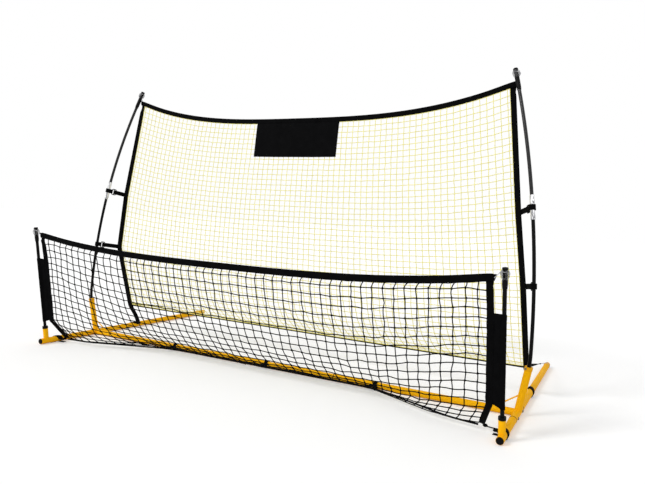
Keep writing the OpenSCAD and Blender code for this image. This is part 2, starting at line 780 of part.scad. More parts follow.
// The panel hangs in front of the net, a little clear of its strands
module target_panel() {
    front = [0, -(strand_t + fabric_t) / 2 - 1, 0];
    half = panel_w / 2 / net_edge_x(1);
    low_v = 1 - panel_h / (net_pt(0, 1).z - low_corner.z);
    drop = [0, middle_y(low_v) - middle_y(1), -panel_h];
    upper = [for (a = steps(10)) net_pt(a * half, 1) + front];
    color(webbing) strip([for (p = upper) p + drop], upper, [0, fabric_t, 0]);
}

/* Pole straps and their sliders, right-hand side */
module strap_place(p, dir, at) {
    place(p, pole_dir(at), dir) children();
}

// The strap's end stops at the face of the side webbing that it is sewn to
seam_back = strand_t / 2 + web_t + 0.6;

module pole_strap(p, dir, at, r, l) {
    color(webbing) strap_place(p, dir, at) difference() {
        union() {
            cylinder(r = r + web_gap + 2 * web_t, h = web_w, center = true, $fn = round_fn);
            translate([0, -web_t, -web_w / 2]) cube([l - seam_back, 2 * web_t, web_w]);
        }
        cylinder(r = r + web_gap, h = web_w + 2, center = true, $fn = round_fn);
    }
}

// A slider is a frame round the strap with a middle bar on its outer face
slider_at = ferrule_r + web_gap + 2 * web_t + slider_travel + slider_len / 2;

module strap_slider(p, dir, at) {
    in_w = web_w + 2 * slider_gap;
    in_t = 2 * web_t + 2 * slider_gap;
    color(webbing) strap_place(p, dir, at) translate([slider_at, 0, 0]) difference() {
        cube([slider_len, in_t + 2 * slider_bar, in_w + 2 * slider_rim], center = true);
        cube([slider_len + 1, in_t, in_w], center = true);
        for (s = [-1, 1]) translate([s * (slider_len - slider_end) / 4, -in_t, 0])
            cube([slider_len / 2 - 1.5 * slider_end, 2 * in_t, in_w], center = true);
        translate([0, in_t, 0]) cube([slider_len - 2 * slider_end, 2 * in_t, in_w], center = true);
    }
}

/* Straps on the rails and cords */
rail_strap_pt = [rail_x, bar_y + rail_strap_back, rail_z];
front_strap_pt = [rail_x, front_y + front_strap_back, rail_z];
loop_r = tube_r + web_gap;

module rear_rail_strap() {
    foot = rail_strap_pt + [0, 0, loop_r + web_t / 2];
    head = low_corner - [web_w, 0, 0];
    n = 4;
    inner = [for (i = [0:n]) mix(head, foot + web_w / 2 * [0, 1, 0], i / n)];
    outer = [for (i = [0:n]) mix(low_corner, foot - web_w / 2 * [0, 1, 0], i / n)];
    strip(inner, outer, [web_t, web_t, 0]);
    ring(rail_strap_pt, [0, 1, 0], loop_r, web_t, web_w);
}

module front_rail_strap() {
    ring(front_strap_pt, [0, 1, 0], loop_r, web_t, web_w);
    rod(front_low_corner, front_strap_pt - [loop_r + web_t / 2, 0, 0], cord_d + 1);
}

module rail_straps() {
    color(webbing) both() {
        rear_rail_strap();
        front_rail_strap();
    }
}

// The tie runs from the net's lower corner to the rail's rear end, the last part elastic
tie_from = low_corner + [0, cord_d, 4];
tie_ring = [rail_x, rear_y - 3 * cord_d - plug_depth, rail_z];
tie_to = tie_ring + [0, 0, tube_r + cord_d / 2];
tie_mid = mix(tie_from, tie_to, 0.6);

module rear_corner_ties() {
    color(webbing) both() rod(tie_from, tie_mid, cord_d);
}

module elastic_cords() {
    color(pale_cord) both() {
        rod(tie_mid, tie_to, cord_d);
        ring(tie_ring, [0, 1, 0], loop_r, web_t, cord_d);
        tip_loop(rear_tip_top, rear_tip_dir, rear_tape_end + [0, 0, loop_d / 2 + loop_gap]);
        tip_loop(front_tip_top, front_dir, front_corner + [loop_d / 2 + loop_gap, 0, 0]);
    }
}

// A small ring round the neck of a tip, and the cord that leaves through a slot to the net's corner
loop_d = 2.2;
loop_gap = 0.3;
loop_drop = cap_h + 6;

module tip_loop(top, dir, end) {
    out = unit(end - top - ((end - top) * dir) * dir);
    hold = top - loop_drop * dir;
    bend = top - bulb_drop * dir + (bulb_r + loop_d) * out;
    ring(hold, dir, neck_r + 0.1, 2, loop_d + 0.2);
    rod(hold + (neck_r + 1.5) * out, bend, loop_d);
    translate(bend) sphere(d = loop_d + 0.6, $fn = 24);
    rod(bend, end, loop_d);
}

/* Front net */
front_corner = front_pt(front_top_at - front_top_drop) + [-front_top_in, 0, 0];
function front_at_z(z) = front_pt((z - rail_z) / front_dir.z);
front_low_corner = [rail_x - front_low_in, front_y + front_low_back, front_low_z];
front_knots = [
    front_low_corner,
    front_at_z(sleeve_low_z) - [sleeve_w, 0, 0],
    front_at_z(sleeve_top_z) - [sleeve_w, 0, 0],
    front_corner
];
front_rows = [2, 4, 1];
front_v = rows(front_knots, front_rows);
function front_side(v) = on_knots(front_knots, v);
bar_front = bar_y - tube_r - web_t - low_tape_w;
tie_a = tie_x / (front_low_corner.x - web_w);
function front_low(a) = let (t = max(0, (abs(a) - tie_a) / (1 - tie_a)))
    [0, mix(bar_front, front_low_corner.y, t), mix(rail_z - 4, front_low_corner.z, t)];
function front_top(a) =
    [0, front_corner.y, front_corner.z - top_tape_w / 2 - front_sag * (1 - pow(abs(a), sag_form))];
// Each column is a Bezier curve: down from the top tape, then back towards the crossbar
front_hang_back = 45;
front_run_rise = 52;
front_depth = front_low(0).y - front_top(0).y;
function front_net_pt(a, v) = let (
        low = front_low(a),
        top = front_top(a),
        share = (low.y - top.y) / front_depth,
        hang = top + [0, front_hang_back * share, -front_hang],
        run = low + [0, -front_run * share, front_run_rise],
        column = bezier(low, run, hang, top, v),
        side = [0, front_side(v).y, mix(low.z, top.z, v)],
        p = mix(column, side, pow(abs(a), 8))
    ) [a * (front_side(v).x - web_w), p.y, p.z];

module front_net() {
    color(webbing) net_grid([for (v = front_v) [for (a = steps(front_cols)) front_net_pt(a, v)]]);
}

module front_top_tape() {
    low = [for (a = steps(front_cols)) front_net_pt(a, 1)];
    inner = concat([low[0] - [web_w, 0, 0]], low, [low[front_cols] + [web_w, 0, 0]]);
    color(webbing) strip(inner, [for (p = inner) p + [0, 0, top_tape_w]], [0, strand_t, 0]);
}

module front_side_tape() {
    inner = [for (v = front_v) front_net_pt(1, v)];
    strip([for (p = inner) p + [web_w, 0, 0]], inner, [0, strand_t, 0]);
}

module front_side_tapes() {
    color(webbing) both() front_side_tape();
}

module front_bottom_tape() {
    low = [for (a = steps(front_cols)) front_net_pt(a, 0)];
    color(webbing) strip([for (p = low) p + low_tape_w * [0, 0.6, -0.8]], low, [0, strand_t, 0]);
}

// A sewn tunnel round the pole, with a flat part that reaches the net's side webbing
module front_sleeve() {
    top_l = (sleeve_top_z - rail_z) / front_dir.z;
    low_l = (sleeve_low_z - rail_z) / front_dir.z;
    tunnel_r = hold_r + fabric_t;
    color(webbing) place(front_foot, front_dir, [-1, 0, 0]) difference() {
        union() {
            translate([0, 0, low_l - sleeve_slant])
                cylinder(r = tunnel_r, h = top_l - low_l + sleeve_slant, $fn = round_fn);
            rotate([90, 0, 0]) linear_extrude(fabric_t, center = true)
                polygon([[0, low_l - sleeve_slant], [sleeve_w, low_l], [sleeve_w, top_l], [0, top_l]]);
        }
        cylinder(r = hold_r, h = top_l + tube_d, $fn = round_fn);
    }
}

module crossbar_tie(x) {
    ring([x, bar_y, rail_z], [1, 0, 0], loop_r, web_t, web_w * 0.7);
    drop = 4;
    rod([x, bar_y - loop_r - web_t / 2, rail_z - drop],
        [x, bar_front + low_tape_w / 2, rail_z - drop], cord_d + 1);
}

module crossbar_ties() {
    color(webbing) for (x = [-tie_x, 0, tie_x]) crossbar_tie(x);
}

/* Nodes */
left() corner_joint();  // corner_joint_left
corner_joint();  // corner_joint_right
left() upright_socket();  // upright_socket_left
upright_socket();  // upright_socket_right
gusset_rods();
left() front_rail();  // front_rail_left
front_rail();  // front_rail_right
left() front_socket();  // front_socket_left
front_socket();  // front_socket_right
left() rear_rail();  // rear_rail_left
rear_rail();  // rear_rail_right
left() crossbar_side();  // crossbar_left
crossbar_middle();
crossbar_side();  // crossbar_right
rail_end_plugs();
left() snap_button(snap_front);  // snap_button_front_left
snap_button(snap_front);  // snap_button_front_right
left() snap_button(snap_rear);  // snap_button_rear_left
snap_button(snap_rear);  // snap_button_rear_right
left() snap_button(snap_bar);  // snap_button_bar_left
snap_button(snap_bar);  // snap_button_bar_right
left() snap_button(snap_splice);  // snap_button_splice_left
snap_button(snap_splice);  // snap_button_splice_right
snap_springs();
front_socket_bushes();
upright_bushes();
pole_set_screws();
left() rear_pole_lower();  // rear_pole_lower_left
rear_pole_lower();  // rear_pole_lower_right
left() rear_pole_upper();  // rear_pole_upper_left
rear_pole_upper();  // rear_pole_upper_right
pole_ferrules();
left() front_pole();  // front_pole_left
front_pole();  // front_pole_right
pole_tips();
tip_collars();
elastic_cords();
rebound_net();
rebound_top_tape();
left() rebound_side_tape();  // rebound_side_tape_left
rebound_side_tape();  // rebound_side_tape_right
rebound_bottom_tape();
target_panel();
left() pole_strap(up_strap_pt, up_strap_dir, ferrule_at, ferrule_r, up_strap_len);  // pole_strap_upper_left
pole_strap(up_strap_pt, up_strap_dir, ferrule_at, ferrule_r, up_strap_len);  // pole_strap_upper_right
left() pole_strap(low_strap_pt, low_strap_dir, low_strap_at, pole_r, low_strap_len);  // pole_strap_lower_left
pole_strap(low_strap_pt, low_strap_dir, low_strap_at, pole_r, low_strap_len);  // pole_strap_lower_right
left() strap_slider(up_strap_pt, up_strap_dir, ferrule_at);  // strap_slider_upper_left
strap_slider(up_strap_pt, up_strap_dir, ferrule_at);  // strap_slider_upper_right
left() strap_slider(low_strap_pt, low_strap_dir, low_strap_at);  // strap_slider_lower_left
strap_slider(low_strap_pt, low_strap_dir, low_strap_at);  // strap_slider_lower_right
rail_straps();
rear_corner_ties();
front_net();
front_top_tape();
front_side_tapes();
front_bottom_tape();
left() front_sleeve();  // front_sleeve_left
front_sleeve();  // front_sleeve_right
crossbar_ties();
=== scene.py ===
import json
import math

import bpy
import numpy as np
from mathutils import Matrix, Vector


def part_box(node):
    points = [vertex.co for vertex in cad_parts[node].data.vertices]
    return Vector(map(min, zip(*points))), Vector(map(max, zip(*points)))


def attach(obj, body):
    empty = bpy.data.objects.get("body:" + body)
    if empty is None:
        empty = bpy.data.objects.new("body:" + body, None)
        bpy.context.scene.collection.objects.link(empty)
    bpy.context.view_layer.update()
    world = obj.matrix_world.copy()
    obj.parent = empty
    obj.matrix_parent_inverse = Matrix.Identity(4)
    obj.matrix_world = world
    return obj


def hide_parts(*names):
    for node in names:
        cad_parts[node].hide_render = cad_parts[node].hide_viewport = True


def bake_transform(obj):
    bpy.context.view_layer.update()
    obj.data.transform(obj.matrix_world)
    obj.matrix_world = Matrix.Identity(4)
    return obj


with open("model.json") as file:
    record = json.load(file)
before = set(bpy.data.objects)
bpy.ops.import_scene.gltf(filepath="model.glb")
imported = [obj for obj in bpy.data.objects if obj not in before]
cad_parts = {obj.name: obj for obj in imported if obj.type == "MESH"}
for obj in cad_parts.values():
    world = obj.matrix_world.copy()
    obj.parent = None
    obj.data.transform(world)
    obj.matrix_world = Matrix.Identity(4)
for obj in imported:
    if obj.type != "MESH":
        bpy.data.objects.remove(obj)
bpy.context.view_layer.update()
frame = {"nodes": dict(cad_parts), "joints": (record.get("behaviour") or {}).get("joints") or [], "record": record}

# ---- sizes
WEB_T = 0.0013          # thickness of webbing
WEB_W = 0.020           # width of webbing
TAPE_T = 0.003          # thickness of a folded edge tape
YELLOW_CORD = 0.0027    # diameter of the rebound net's cord
YELLOW_COLS = 72        # whole meshes across the rebound net, and the share of one left at each side
YELLOW_END = 0.4
YELLOW_ROWS = 42        # meshes down the rebound net, of which the lowest are pulled together
FOOT_ROWS = (0.50, 0.62, 0.74, 0.84, 0.92, 0.97)
BLACK_CORD = 0.0037     # diameter of the front net's cord
BLACK_COLS = 50         # whole meshes across the front net, and the share of one left at each side
BLACK_END = 0.65
BLACK_ROWS = 17         # meshes down the front net, and how much of the first the tape hides
BLACK_FIRST = 0.4
KNOT_R = 0.0036         # radius of the front net's knots
DRIFT = 0.045           # how far the columns of a net run sideways at its foot
HANG, HANG_BACK = 0.216, 0.045   # the front net's form, as in the CAD: down from its top tape,
RUN, RUN_RISE = 0.215, 0.052     # then back towards the crossbar
CORD_D = 0.003          # diameter of the ties and the elastic cords
FRONT_CORD_D = 0.004    # diameter of the front net's corner cords
LOOP_D = 0.0022         # diameter of the elastic loops at the tips
NECK_R = 0.007          # radius of a tip's neck
FABRIC_T = 0.0012       # thickness of the panel's cloth
PANEL = (0.406, 0.151)  # width and height of the panel
SLEEVE_T = 0.0009       # thickness of a sleeve's cloth
STITCH, STITCH_GAP, STITCH_R = 0.0032, 0.0018, 0.00035
BODY = "frame"          # the body that everything rides on, apart from buttons and sliders
UP = np.array([0.0, 0.0, 1.0])
BACK = np.array([0.0, 1.0, 0.0])
RIGHT = np.array([1.0, 0.0, 0.0])
FLIP = np.array([-1.0, 1.0, 1.0])       # takes a point to its mirror image
SIDES = ("right", "left")


def add_object(name, data):
    o = bpy.data.objects.new(name, data)
    bpy.context.scene.collection.objects.link(o)
    return o


# ---- camera
def make_camera():
    """A pinhole camera fitted to the symmetric frame; the lens centre is the picture's centre."""
    place = (1.297, -2.3087, 0.6376)
    yaw, pitch, roll = np.radians([27.25, 2.366, 3.168])
    focal_px, image_w = 591.3, 645
    fwd = np.array([-np.sin(yaw) * np.cos(pitch), np.cos(yaw) * np.cos(pitch), -np.sin(pitch)])
    flat = np.array([np.cos(yaw), np.sin(yaw), 0.0])
    above = np.cross(flat, fwd)
    x_axis = np.cos(roll) * flat + np.sin(roll) * above
    y_axis = np.cos(roll) * above - np.sin(roll) * flat
    data = bpy.data.cameras.new("camera")
    data.sensor_width = 36
    data.lens = data.sensor_width * focal_px / image_w
    camera = add_object("camera", data)
    camera.matrix_world = Matrix([*zip(x_axis, y_axis, -fwd, place), (0, 0, 0, 1)])
    bpy.context.scene.camera = camera


make_camera()


# ---- reading the frame
def unit(v):
    """A vector, or each row of an array, brought to a length of 1."""
    v = np.asarray(v, float)
    return v / np.linalg.norm(v, axis=-1, keepdims=True)


def square_to(v, axis):
    """What a vector, or each row of an array, has square to a unit axis."""
    return v - (v * axis).sum(-1, keepdims=True) * axis


def look_up(x, places, rows):
    """The points at x on a line whose points lie at the given places."""
    return np.stack([np.interp(x, places, rows[:, k]) for k in range(3)], -1)


def run_of(path):
    """How far along a line each of its points is."""
    return np.r_[0, np.cumsum(np.linalg.norm(np.diff(path, axis=0), axis=1))]


def rise_of(rows):
    """The height of each row, from 0 for the first to 1 for the last."""
    return (rows[:, 2] - rows[0, 2]) / (rows[-1, 2] - rows[0, 2])


def mix(a, b, t):
    return a + (b - a) * t


def mid_of(values):
    return (values.max() + values.min()) / 2


def vertices(node):
    return np.array([v.co for v in frame["nodes"][node].data.vertices], float)


def middle(node):
    low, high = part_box(node)
    return np.array((low + high) / 2)


def stations(co, axis):
    """Groups the corners of a CAD strip by their place along an axis, in order."""
    places = np.unique(co[:, axis].round(5))
    return [co[abs(co[:, axis] - p) < 3e-5] for p in places]


def spline(points, per):
    """A smooth line through points, with per steps from each point to the next."""
    p = np.asarray(points, float)
    p = np.vstack([2 * p[0] - p[1], p, 2 * p[-1] - p[-2]])
    t = (np.arange(per) / per)[:, None]
    out = []
    for a, b, c, d in zip(p, p[1:], p[2:], p[3:]):
        out.append(0.5 * (2 * b + (c - a) * t + (2 * a - 5 * b + 4 * c - d) * t ** 2
                          + (3 * b - a - 3 * c + d) * t ** 3))
    return np.vstack(out + [p[-2:-1]])


def closed_spline(points, per):
    return spline(np.vstack([points[-1:], points, points[:2]]), per)[per:-per - 1]


def resample(path, count):
    """count points at equal steps along a line."""
    path = np.asarray(path, float)
    run = run_of(path)
    return look_up(np.linspace(0, run[-1], count), run, path)


def length(path):
    return float(run_of(path)[-1])


# Places on the steel frame, right-hand side
rail_low, rail_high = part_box("rear_rail_right")
RAIL_X, RAIL_Z = (rail_low.x + rail_high.x) / 2, (rail_low.z + rail_high.z) / 2
TUBE_R = (rail_high.z - rail_low.z) / 2
BAR_Y = middle("crossbar_middle")[1]


def edge_rows(co):
    """Inner and outer edge of a side webbing, from its CAD strip: rows of (x, y, z)."""
    inner, outer = [], []
    for row in stations(co, 2):
        y, z = row[:, 1].mean(), row[:, 2].mean()
        inner.append([row[:, 0].min(), y, z])
        outer.append([row[:, 0].max(), y, z])
    return np.array(inner), np.array(outer)


def edge_columns(co):
    """Lower and upper edge of a tape that runs across, from its CAD strip."""
    low, high = [], []
    for column in stations(co, 0):
        for out, pick in ((low, column[:, 2].min()), (high, column[:, 2].max())):
            near = column[abs(column[:, 2] - pick) < 1e-4]
            out.append([near[:, 0].mean(), near[:, 1].mean(), pick])
    return np.array(low), np.array(high)


def middle_column(node):
    """The line down the middle of a CAD net, bottom to top."""
    co = vertices(node)
    co = co[abs(co[:, 0]) < 1e-5]
    return np.array([row.mean(0) for row in stations(co, 2)])


def right_half(node):
    co = vertices(node)
    return co[co[:, 0] > 0]


def turned(inner, outer, heights, widths, turns, backs):
    """A side webbing's edges, given its width, its turn inwards and its set back at some heights."""
    fine = np.arange(0, len(inner) - 1 + 1e-6, 0.25)
    inner, outer = (look_up(fine, np.arange(len(e)), e) for e in (inner, outer))
    centre = (inner + outer) / 2
    z = centre[:, 2]
    turn = np.radians(np.interp(z, heights, turns))
    across = np.stack([np.cos(turn), -np.sin(turn), 0 * z], 1)
    half = np.interp(z, heights, widths)[:, None] / 2 * across
    centre[:, 1] += np.interp(z, heights, backs)
    return centre - half, centre + half


rebound_top_low, rebound_top_high = edge_columns(vertices("rebound_top_tape"))
front_top_low, front_top_high = edge_columns(vertices("front_top_tape"))
front_foot_high = edge_columns(vertices("front_bottom_tape"))[1]
cad_inner, cad_outer = edge_rows(vertices("rebound_side_tape_right"))
REAR_CORNER, LOW_CORNER = cad_outer[-1], cad_outer[0]
rebound_inner, rebound_outer = turned(
    cad_inner, cad_outer, (LOW_CORNER[2], 0.6, REAR_CORNER[2] - 0.06, REAR_CORNER[2]),
    widths=(0.0245, 0.024, 0.0225, 0.022), turns=(24, 22, 11, 0), backs=(0, 0, 0, 0))
cad_inner, cad_outer = edge_rows(right_half("front_side_tapes"))
FRONT_CORNER, FRONT_LOW_CORNER = cad_outer[-1], cad_outer[0]
front_inner, front_outer = turned(
    cad_inner, cad_outer, (FRONT_LOW_CORNER[2], 0.10, 0.13, 0.38, 0.42, FRONT_CORNER[2]),
    widths=(0.0225, 0.022, 0.0215, 0.0215, 0.021, 0.0205), turns=(32, 22, 11, 11, 9, 0),
    backs=(0.0055, 0.0065, 0.0076, 0.0076, 0.004, 0))


def along_rows(rows, v):
    """A point on a side edge, where v is 0 at its bottom and 1 at its top."""
    return look_up(v, rise_of(rows), rows)


def on_line(line, x):
    """The point of a smooth crosswise line at x."""
    fine = spline(line, 8)
    return look_up(x, fine[:, 0], fine)


def meshes(whole, end):
    """Places of a net's columns from -1 to 1: whole meshes, and a part of one at each side."""
    at = np.concatenate([[0], end + np.arange(whole + 1), [whole + 2 * end]])
    return 2 * at / at[-1] - 1


def rebound_grid():
    """The rebound net's crossings. Its lowest rows are pulled together, and its columns drift there."""
    profile = spline(middle_column("rebound_net"), 8)
    rows = np.r_[0, np.cumsum(np.r_[FOOT_ROWS, np.ones(YELLOW_ROWS - len(FOOT_ROWS))])]
    a, v = np.meshgrid(meshes(YELLOW_COLS, YELLOW_END), rows / rows[-1])
    side = along_rows(rebound_inner, v)
    top = on_line(rebound_top_low, a * rebound_inner[-1, 0])[..., 2]
    y = mix(np.interp(v, rise_of(profile), profile[:, 1]), side[..., 1], abs(a) ** 4)
    drift = DRIFT * (1 - v) ** 18 * (1 - abs(a) ** 6)
    return np.stack([a * side[..., 0] + drift, y, mix(rebound_inner[0, 2], top, v)], -1)


def front_grid():
    """The front net's crossings: each column hangs down, then runs back to the foot."""
    columns = meshes(BLACK_COLS, BLACK_END)
    t = np.linspace(0, 1, 161)
    middle_foot = on_line(front_foot_high, 0)
    grid = np.zeros((BLACK_ROWS + 1, len(columns), 3))
    for j, a in enumerate(columns):
        foot = on_line(front_foot_high, a * front_foot_high[-1, 0])
        top = on_line(front_top_low, a * cad_inner[-1, 0])
        share = (foot[1] - top[1]) / (middle_foot[1] - top[1])
        hang = top + [0, HANG_BACK * share, -HANG]
        run = foot + [0, -RUN * share, RUN_RISE]
        s = t[:, None]
        line = foot * (1 - s) ** 3 + 3 * run * s * (1 - s) ** 2 + 3 * hang * s ** 2 * (1 - s) + top * s ** 3
        side = along_rows(front_inner, t)
        line = mix(line, np.stack([side[:, 0], side[:, 1], mix(foot[2], top[2], t)], 1), abs(a) ** 8)
        line[:, 0] = a * side[:, 0] - DRIFT * (1 - t) ** 4 * (1 - abs(a) ** 6)
        run_by = run_of(line)
        hidden = BLACK_FIRST * (1 - np.clip((abs(a) - 0.95) / 0.05, 0, 1))
        from_top = np.clip((BLACK_ROWS - np.arange(BLACK_ROWS + 1) - hidden) / (BLACK_ROWS - hidden), 0, 1)
        grid[:, j] = look_up(run_by[-1] * (1 - from_top), run_by, line)
        grid[-1, j, 0] += 0.009 * (1 - abs(a) ** 12)
    return grid


# ---- mesh building
class Shape:
    """Collects vertices and faces. Each face corner keeps its lay: across, along and side, in metres."""

    def __init__(self):
        self.verts, self.faces, self.lay, self.count = [], [], [], 0

    def add(self, verts, faces, lay):
        self.verts.append(np.asarray(verts, float))
        self.faces += [[i + self.count for i in f] for f in faces]
        self.lay.append(np.asarray(lay, np.float32).reshape(-1, 3))
        self.count += len(verts)

    def on(self, side):
        """This right-hand shape, or its mirror image for the left."""
        if side == "right":
            return self
        mirrored = Shape()
        ends = np.cumsum([len(f) for f in self.faces])
        lay = [corners[::-1] for corners in np.split(np.vstack(self.lay), ends[:-1])]
        mirrored.add(np.vstack(self.verts) * FLIP, [f[::-1] for f in self.faces], np.vstack(lay))
        return mirrored

    def obj(self, name, slot, node=None, body=BODY, material=None):
        """Makes the piece, which rides on body, has the finish of slot and stands for node."""
        mesh = bpy.data.meshes.new(name)
        mesh.from_pydata(np.vstack(self.verts).tolist(), [], self.faces)
        layer = mesh.attributes.new("lay", "FLOAT_VECTOR", "CORNER")
        layer.data.foreach_set("vector", np.vstack(self.lay).ravel())
        mesh.shade_smooth()
        mesh.materials.append(MAT[material or slot])
        o = add_object(name, mesh)
        if body:
            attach(o, body)
        if node:
            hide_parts(node)
        return o


def sweep(shape, path, xs, ys, section, closed=False, sides=None):
    """Sweeps a section of (x, y) points along a path, with the axes xs and ys at each point.
    There is one section, or one for each point of the path. sides gives each section point its
    place across, and its last value closes the round."""
    n, m = len(path), section.shape[-2]
    section = np.broadcast_to(section, (n, m, 2))
    pts = path[:, None] + section[..., :1] * xs[:, None] + section[..., 1:] * ys[:, None]
    along = run_of(path)
    if closed:
        along = np.r_[along, along[-1] + np.linalg.norm(path[0] - path[-1])]
    faces, lay = [], []
    for i in range(n if closed else n - 1):
        k = (i + 1) % n
        for j in range(m):
            q = (j + 1) % m
            faces.append([i * m + j, i * m + q, k * m + q, k * m + j])
            a, b = (sides[j], sides[j + 1]) if sides is not None else (section[i, j, 0], section[i, q, 0])
            s, t = section[i, j, 1], section[i, q, 1]
            lay += [[a, along[i], s], [b, along[i], t], [b, along[i + 1], t], [a, along[i + 1], s]]
    if not closed:
        for i, order in ((0, range(m - 1, -1, -1)), (n - 1, range(m))):
            faces.append([i * m + j for j in order])
            lay += [[section[i, j, 0], along[i], section[i, j, 1]] for j in order]
    shape.add(pts.reshape(-1, 3), faces, lay)


def frames(path, ref, closed=False):
    """Axes across a path: ys as near ref as it can be, and xs square to it."""
    steps = np.roll(path, -1, 0) - np.roll(path, 1, 0) if closed else np.gradient(path, axis=0)
    tangent = unit(steps)
    ys = unit(square_to(ref, tangent))
    return np.cross(ys, tangent), ys


def circle(radius, count):
    a = np.arange(count) * 2 * math.pi / count
    return radius * np.stack([np.cos(a), np.sin(a)], 1)


def tube(shape, path, radius, count=8, ref=BACK):
    """A round cord along a path. radius is one number, or one for each point."""
    radii = np.broadcast_to(radius, len(path))[:, None, None]
    sweep(shape, path, *frames(path, ref), radii * circle(1, count), sides=np.arange(count + 1) / count)


def flat_section(half_w, half_t):
    """A flat band with round edges."""
    reach = half_w - half_t
    across = np.linspace(-1, 1, 5) * reach
    low, top = ([(x, y) for x in row] for row, y in ((across, -half_t), (across[::-1], half_t)))
    right = [(reach + half_t * math.cos(b), half_t * math.sin(b)) for b in np.radians([-60, 0, 60])]
    left = [(-x, -y) for x, y in right]
    return np.array(low + right + top + left)


def band(shape, left, right, normal, thick):
    """A band of webbing between two edge lines, thick across normal."""
    wide = right - left
    xs = unit(wide)
    ys = unit(square_to(normal, xs))
    section = np.array([flat_section(w / 2, thick / 2) for w in np.linalg.norm(wide, axis=1)])
    sweep(shape, (left + right) / 2, xs, ys, section)


def ribbon(shape, path, axis, width, thick, closed=False, across=False):
    """A band of webbing along a path. axis is square to its flat side or, with across, lies in it."""
    xs, ys = frames(path, axis, closed)
    if across:
        xs, ys = ys, -xs
    sweep(shape, path, xs, ys, flat_section(width / 2, thick / 2), closed)


def blob(shape, centre, radii, axes=np.eye(3), count=8):
    """A small rounded lump, such as a knot."""
    right, back, up = axes * np.asarray(radii)[:, None]
    rings = np.linspace(-1, 1, 7)[1:-1] * math.pi / 2
    verts = [-up]
    for r in rings:
        verts += [x * right + y * back + math.sin(r) * up for x, y in circle(math.cos(r), count)]
    verts.append(up)
    faces = []
    k = len(rings)
    for j in range(count):
        q = (j + 1) % count
        faces.append([0, 1 + q, 1 + j])
        for i in range(k - 1):
            faces.append([1 + i * count + j, 1 + i * count + q, 1 + (i + 1) * count + q, 1 + (i + 1) * count + j])
        faces.append([1 + (k - 1) * count + j, 1 + (k - 1) * count + q, 1 + k * count])
    lay = [[0.3 * verts[i][0], verts[i][2], verts[i][1]] for f in faces for i in f]
    shape.add(np.array(verts) + centre, faces, lay)


def stitches(shape, path, normal):
    """A row of sewn stitches that stand a little out of the cloth."""
    count = max(1, int(length(path) / (STITCH + STITCH_GAP)))
    fine = resample(path, 4 * count + 1)
    out = normal * STITCH_R
    ring = [(j, (j + 1) % 4) for j in range(4)]
    faces = [[0, 1 + q, 1 + j] for j, q in ring] + [[1 + j, 1 + q, 5 + q, 5 + j] for j, q in ring]
    faces += [[5 + j, 5 + q, 9] for j, q in ring]
    for i in range(0, 4 * count, 4):
        a, b, _, c, d = fine[i:i + 5]
        side = unit(np.cross(c - a, normal)) * STITCH_R
        verts = [mix(a, b, 0.4) - out]
        for p in (b + 1.2 * out, c + 1.2 * out):
            verts += [p + side, p + out, p - side, p - out]
        verts.append(mix(c, d, 0.2) - out)
        shape.add(verts, faces, [[0, 0, 0] for f in faces for _ in f])


def slab(shape, grid, normals, thick):
    """A closed sheet over a grid of points, thick across its normals; thick may vary over the grid."""
    n, m = grid.shape[:2]
    thick = np.broadcast_to(np.asarray(thick, float), (n, m)).copy()
    for edge in (thick[0], thick[-1], thick[:, 0], thick[:, -1]):
        edge *= 0.6
    half = normals * thick[..., None] / 2
    verts = np.concatenate([(grid - half).reshape(-1, 3), (grid + half).reshape(-1, 3)])
    across = np.array([run_of(row) for row in grid])
    along = np.array([run_of(column) for column in grid.swapaxes(0, 1)]).T
    flat = np.tile(np.stack([across, along, 0 * along], -1).reshape(-1, 3), (2, 1))
    k = n * m
    at = np.arange(k).reshape(n, m)
    faces = []
    for a, b, c, d in np.stack([at[:-1, :-1], at[:-1, 1:], at[1:, 1:], at[1:, :-1]], -1).reshape(-1, 4).tolist():
        faces += [[a, d, c, b], [a + k, b + k, c + k, d + k]]
    rim = np.r_[at[0, :-1], at[:-1, -1], at[-1, :0:-1], at[:0:-1, 0]].tolist()
    for a, b in zip(rim, rim[1:] + rim[:1]):
        faces.append([a, b, b + k, a + k])
    shape.add(verts, faces, [flat[i] for f in faces for i in f])


def grid_normals(grid):
    """Unit normals of a grid of points."""
    return unit(np.cross(np.gradient(grid, axis=0), np.gradient(grid, axis=1)))


# ---- materials
MAT = {}        # every material by its name


class Tree:
    """The node tree of a material or world, with arithmetic on its sockets."""

    def __init__(self, owner, shader):
        owner.use_nodes = True
        self.tree = owner.node_tree
        self.shader = self.tree.nodes[shader]

    def node(self, kind, inputs=None, **fields):
        """A new node, with its fields set and its inputs fed."""
        n = self.tree.nodes.new(kind)
        for key, value in fields.items():
            setattr(n, key, value)
        for key, value in (inputs or {}).items():
            self.feed(n.inputs[key], value)
        return n

    def feed(self, socket, value):
        if isinstance(value, bpy.types.NodeSocket):
            self.tree.links.new(value, socket)
        else:
            socket.default_value = value

    def math(self, operation, a, b=0.0):
        return self.node("ShaderNodeMath", {0: a, 1: b}, operation=operation).outputs[0]

    def spread(self, value, low, high, out_low=0.0, out_high=1.0):
        return self.node("ShaderNodeMapRange", {"Value": value, "From Min": low, "From Max": high,
                                                "To Min": out_low, "To Max": out_high}).outputs[0]


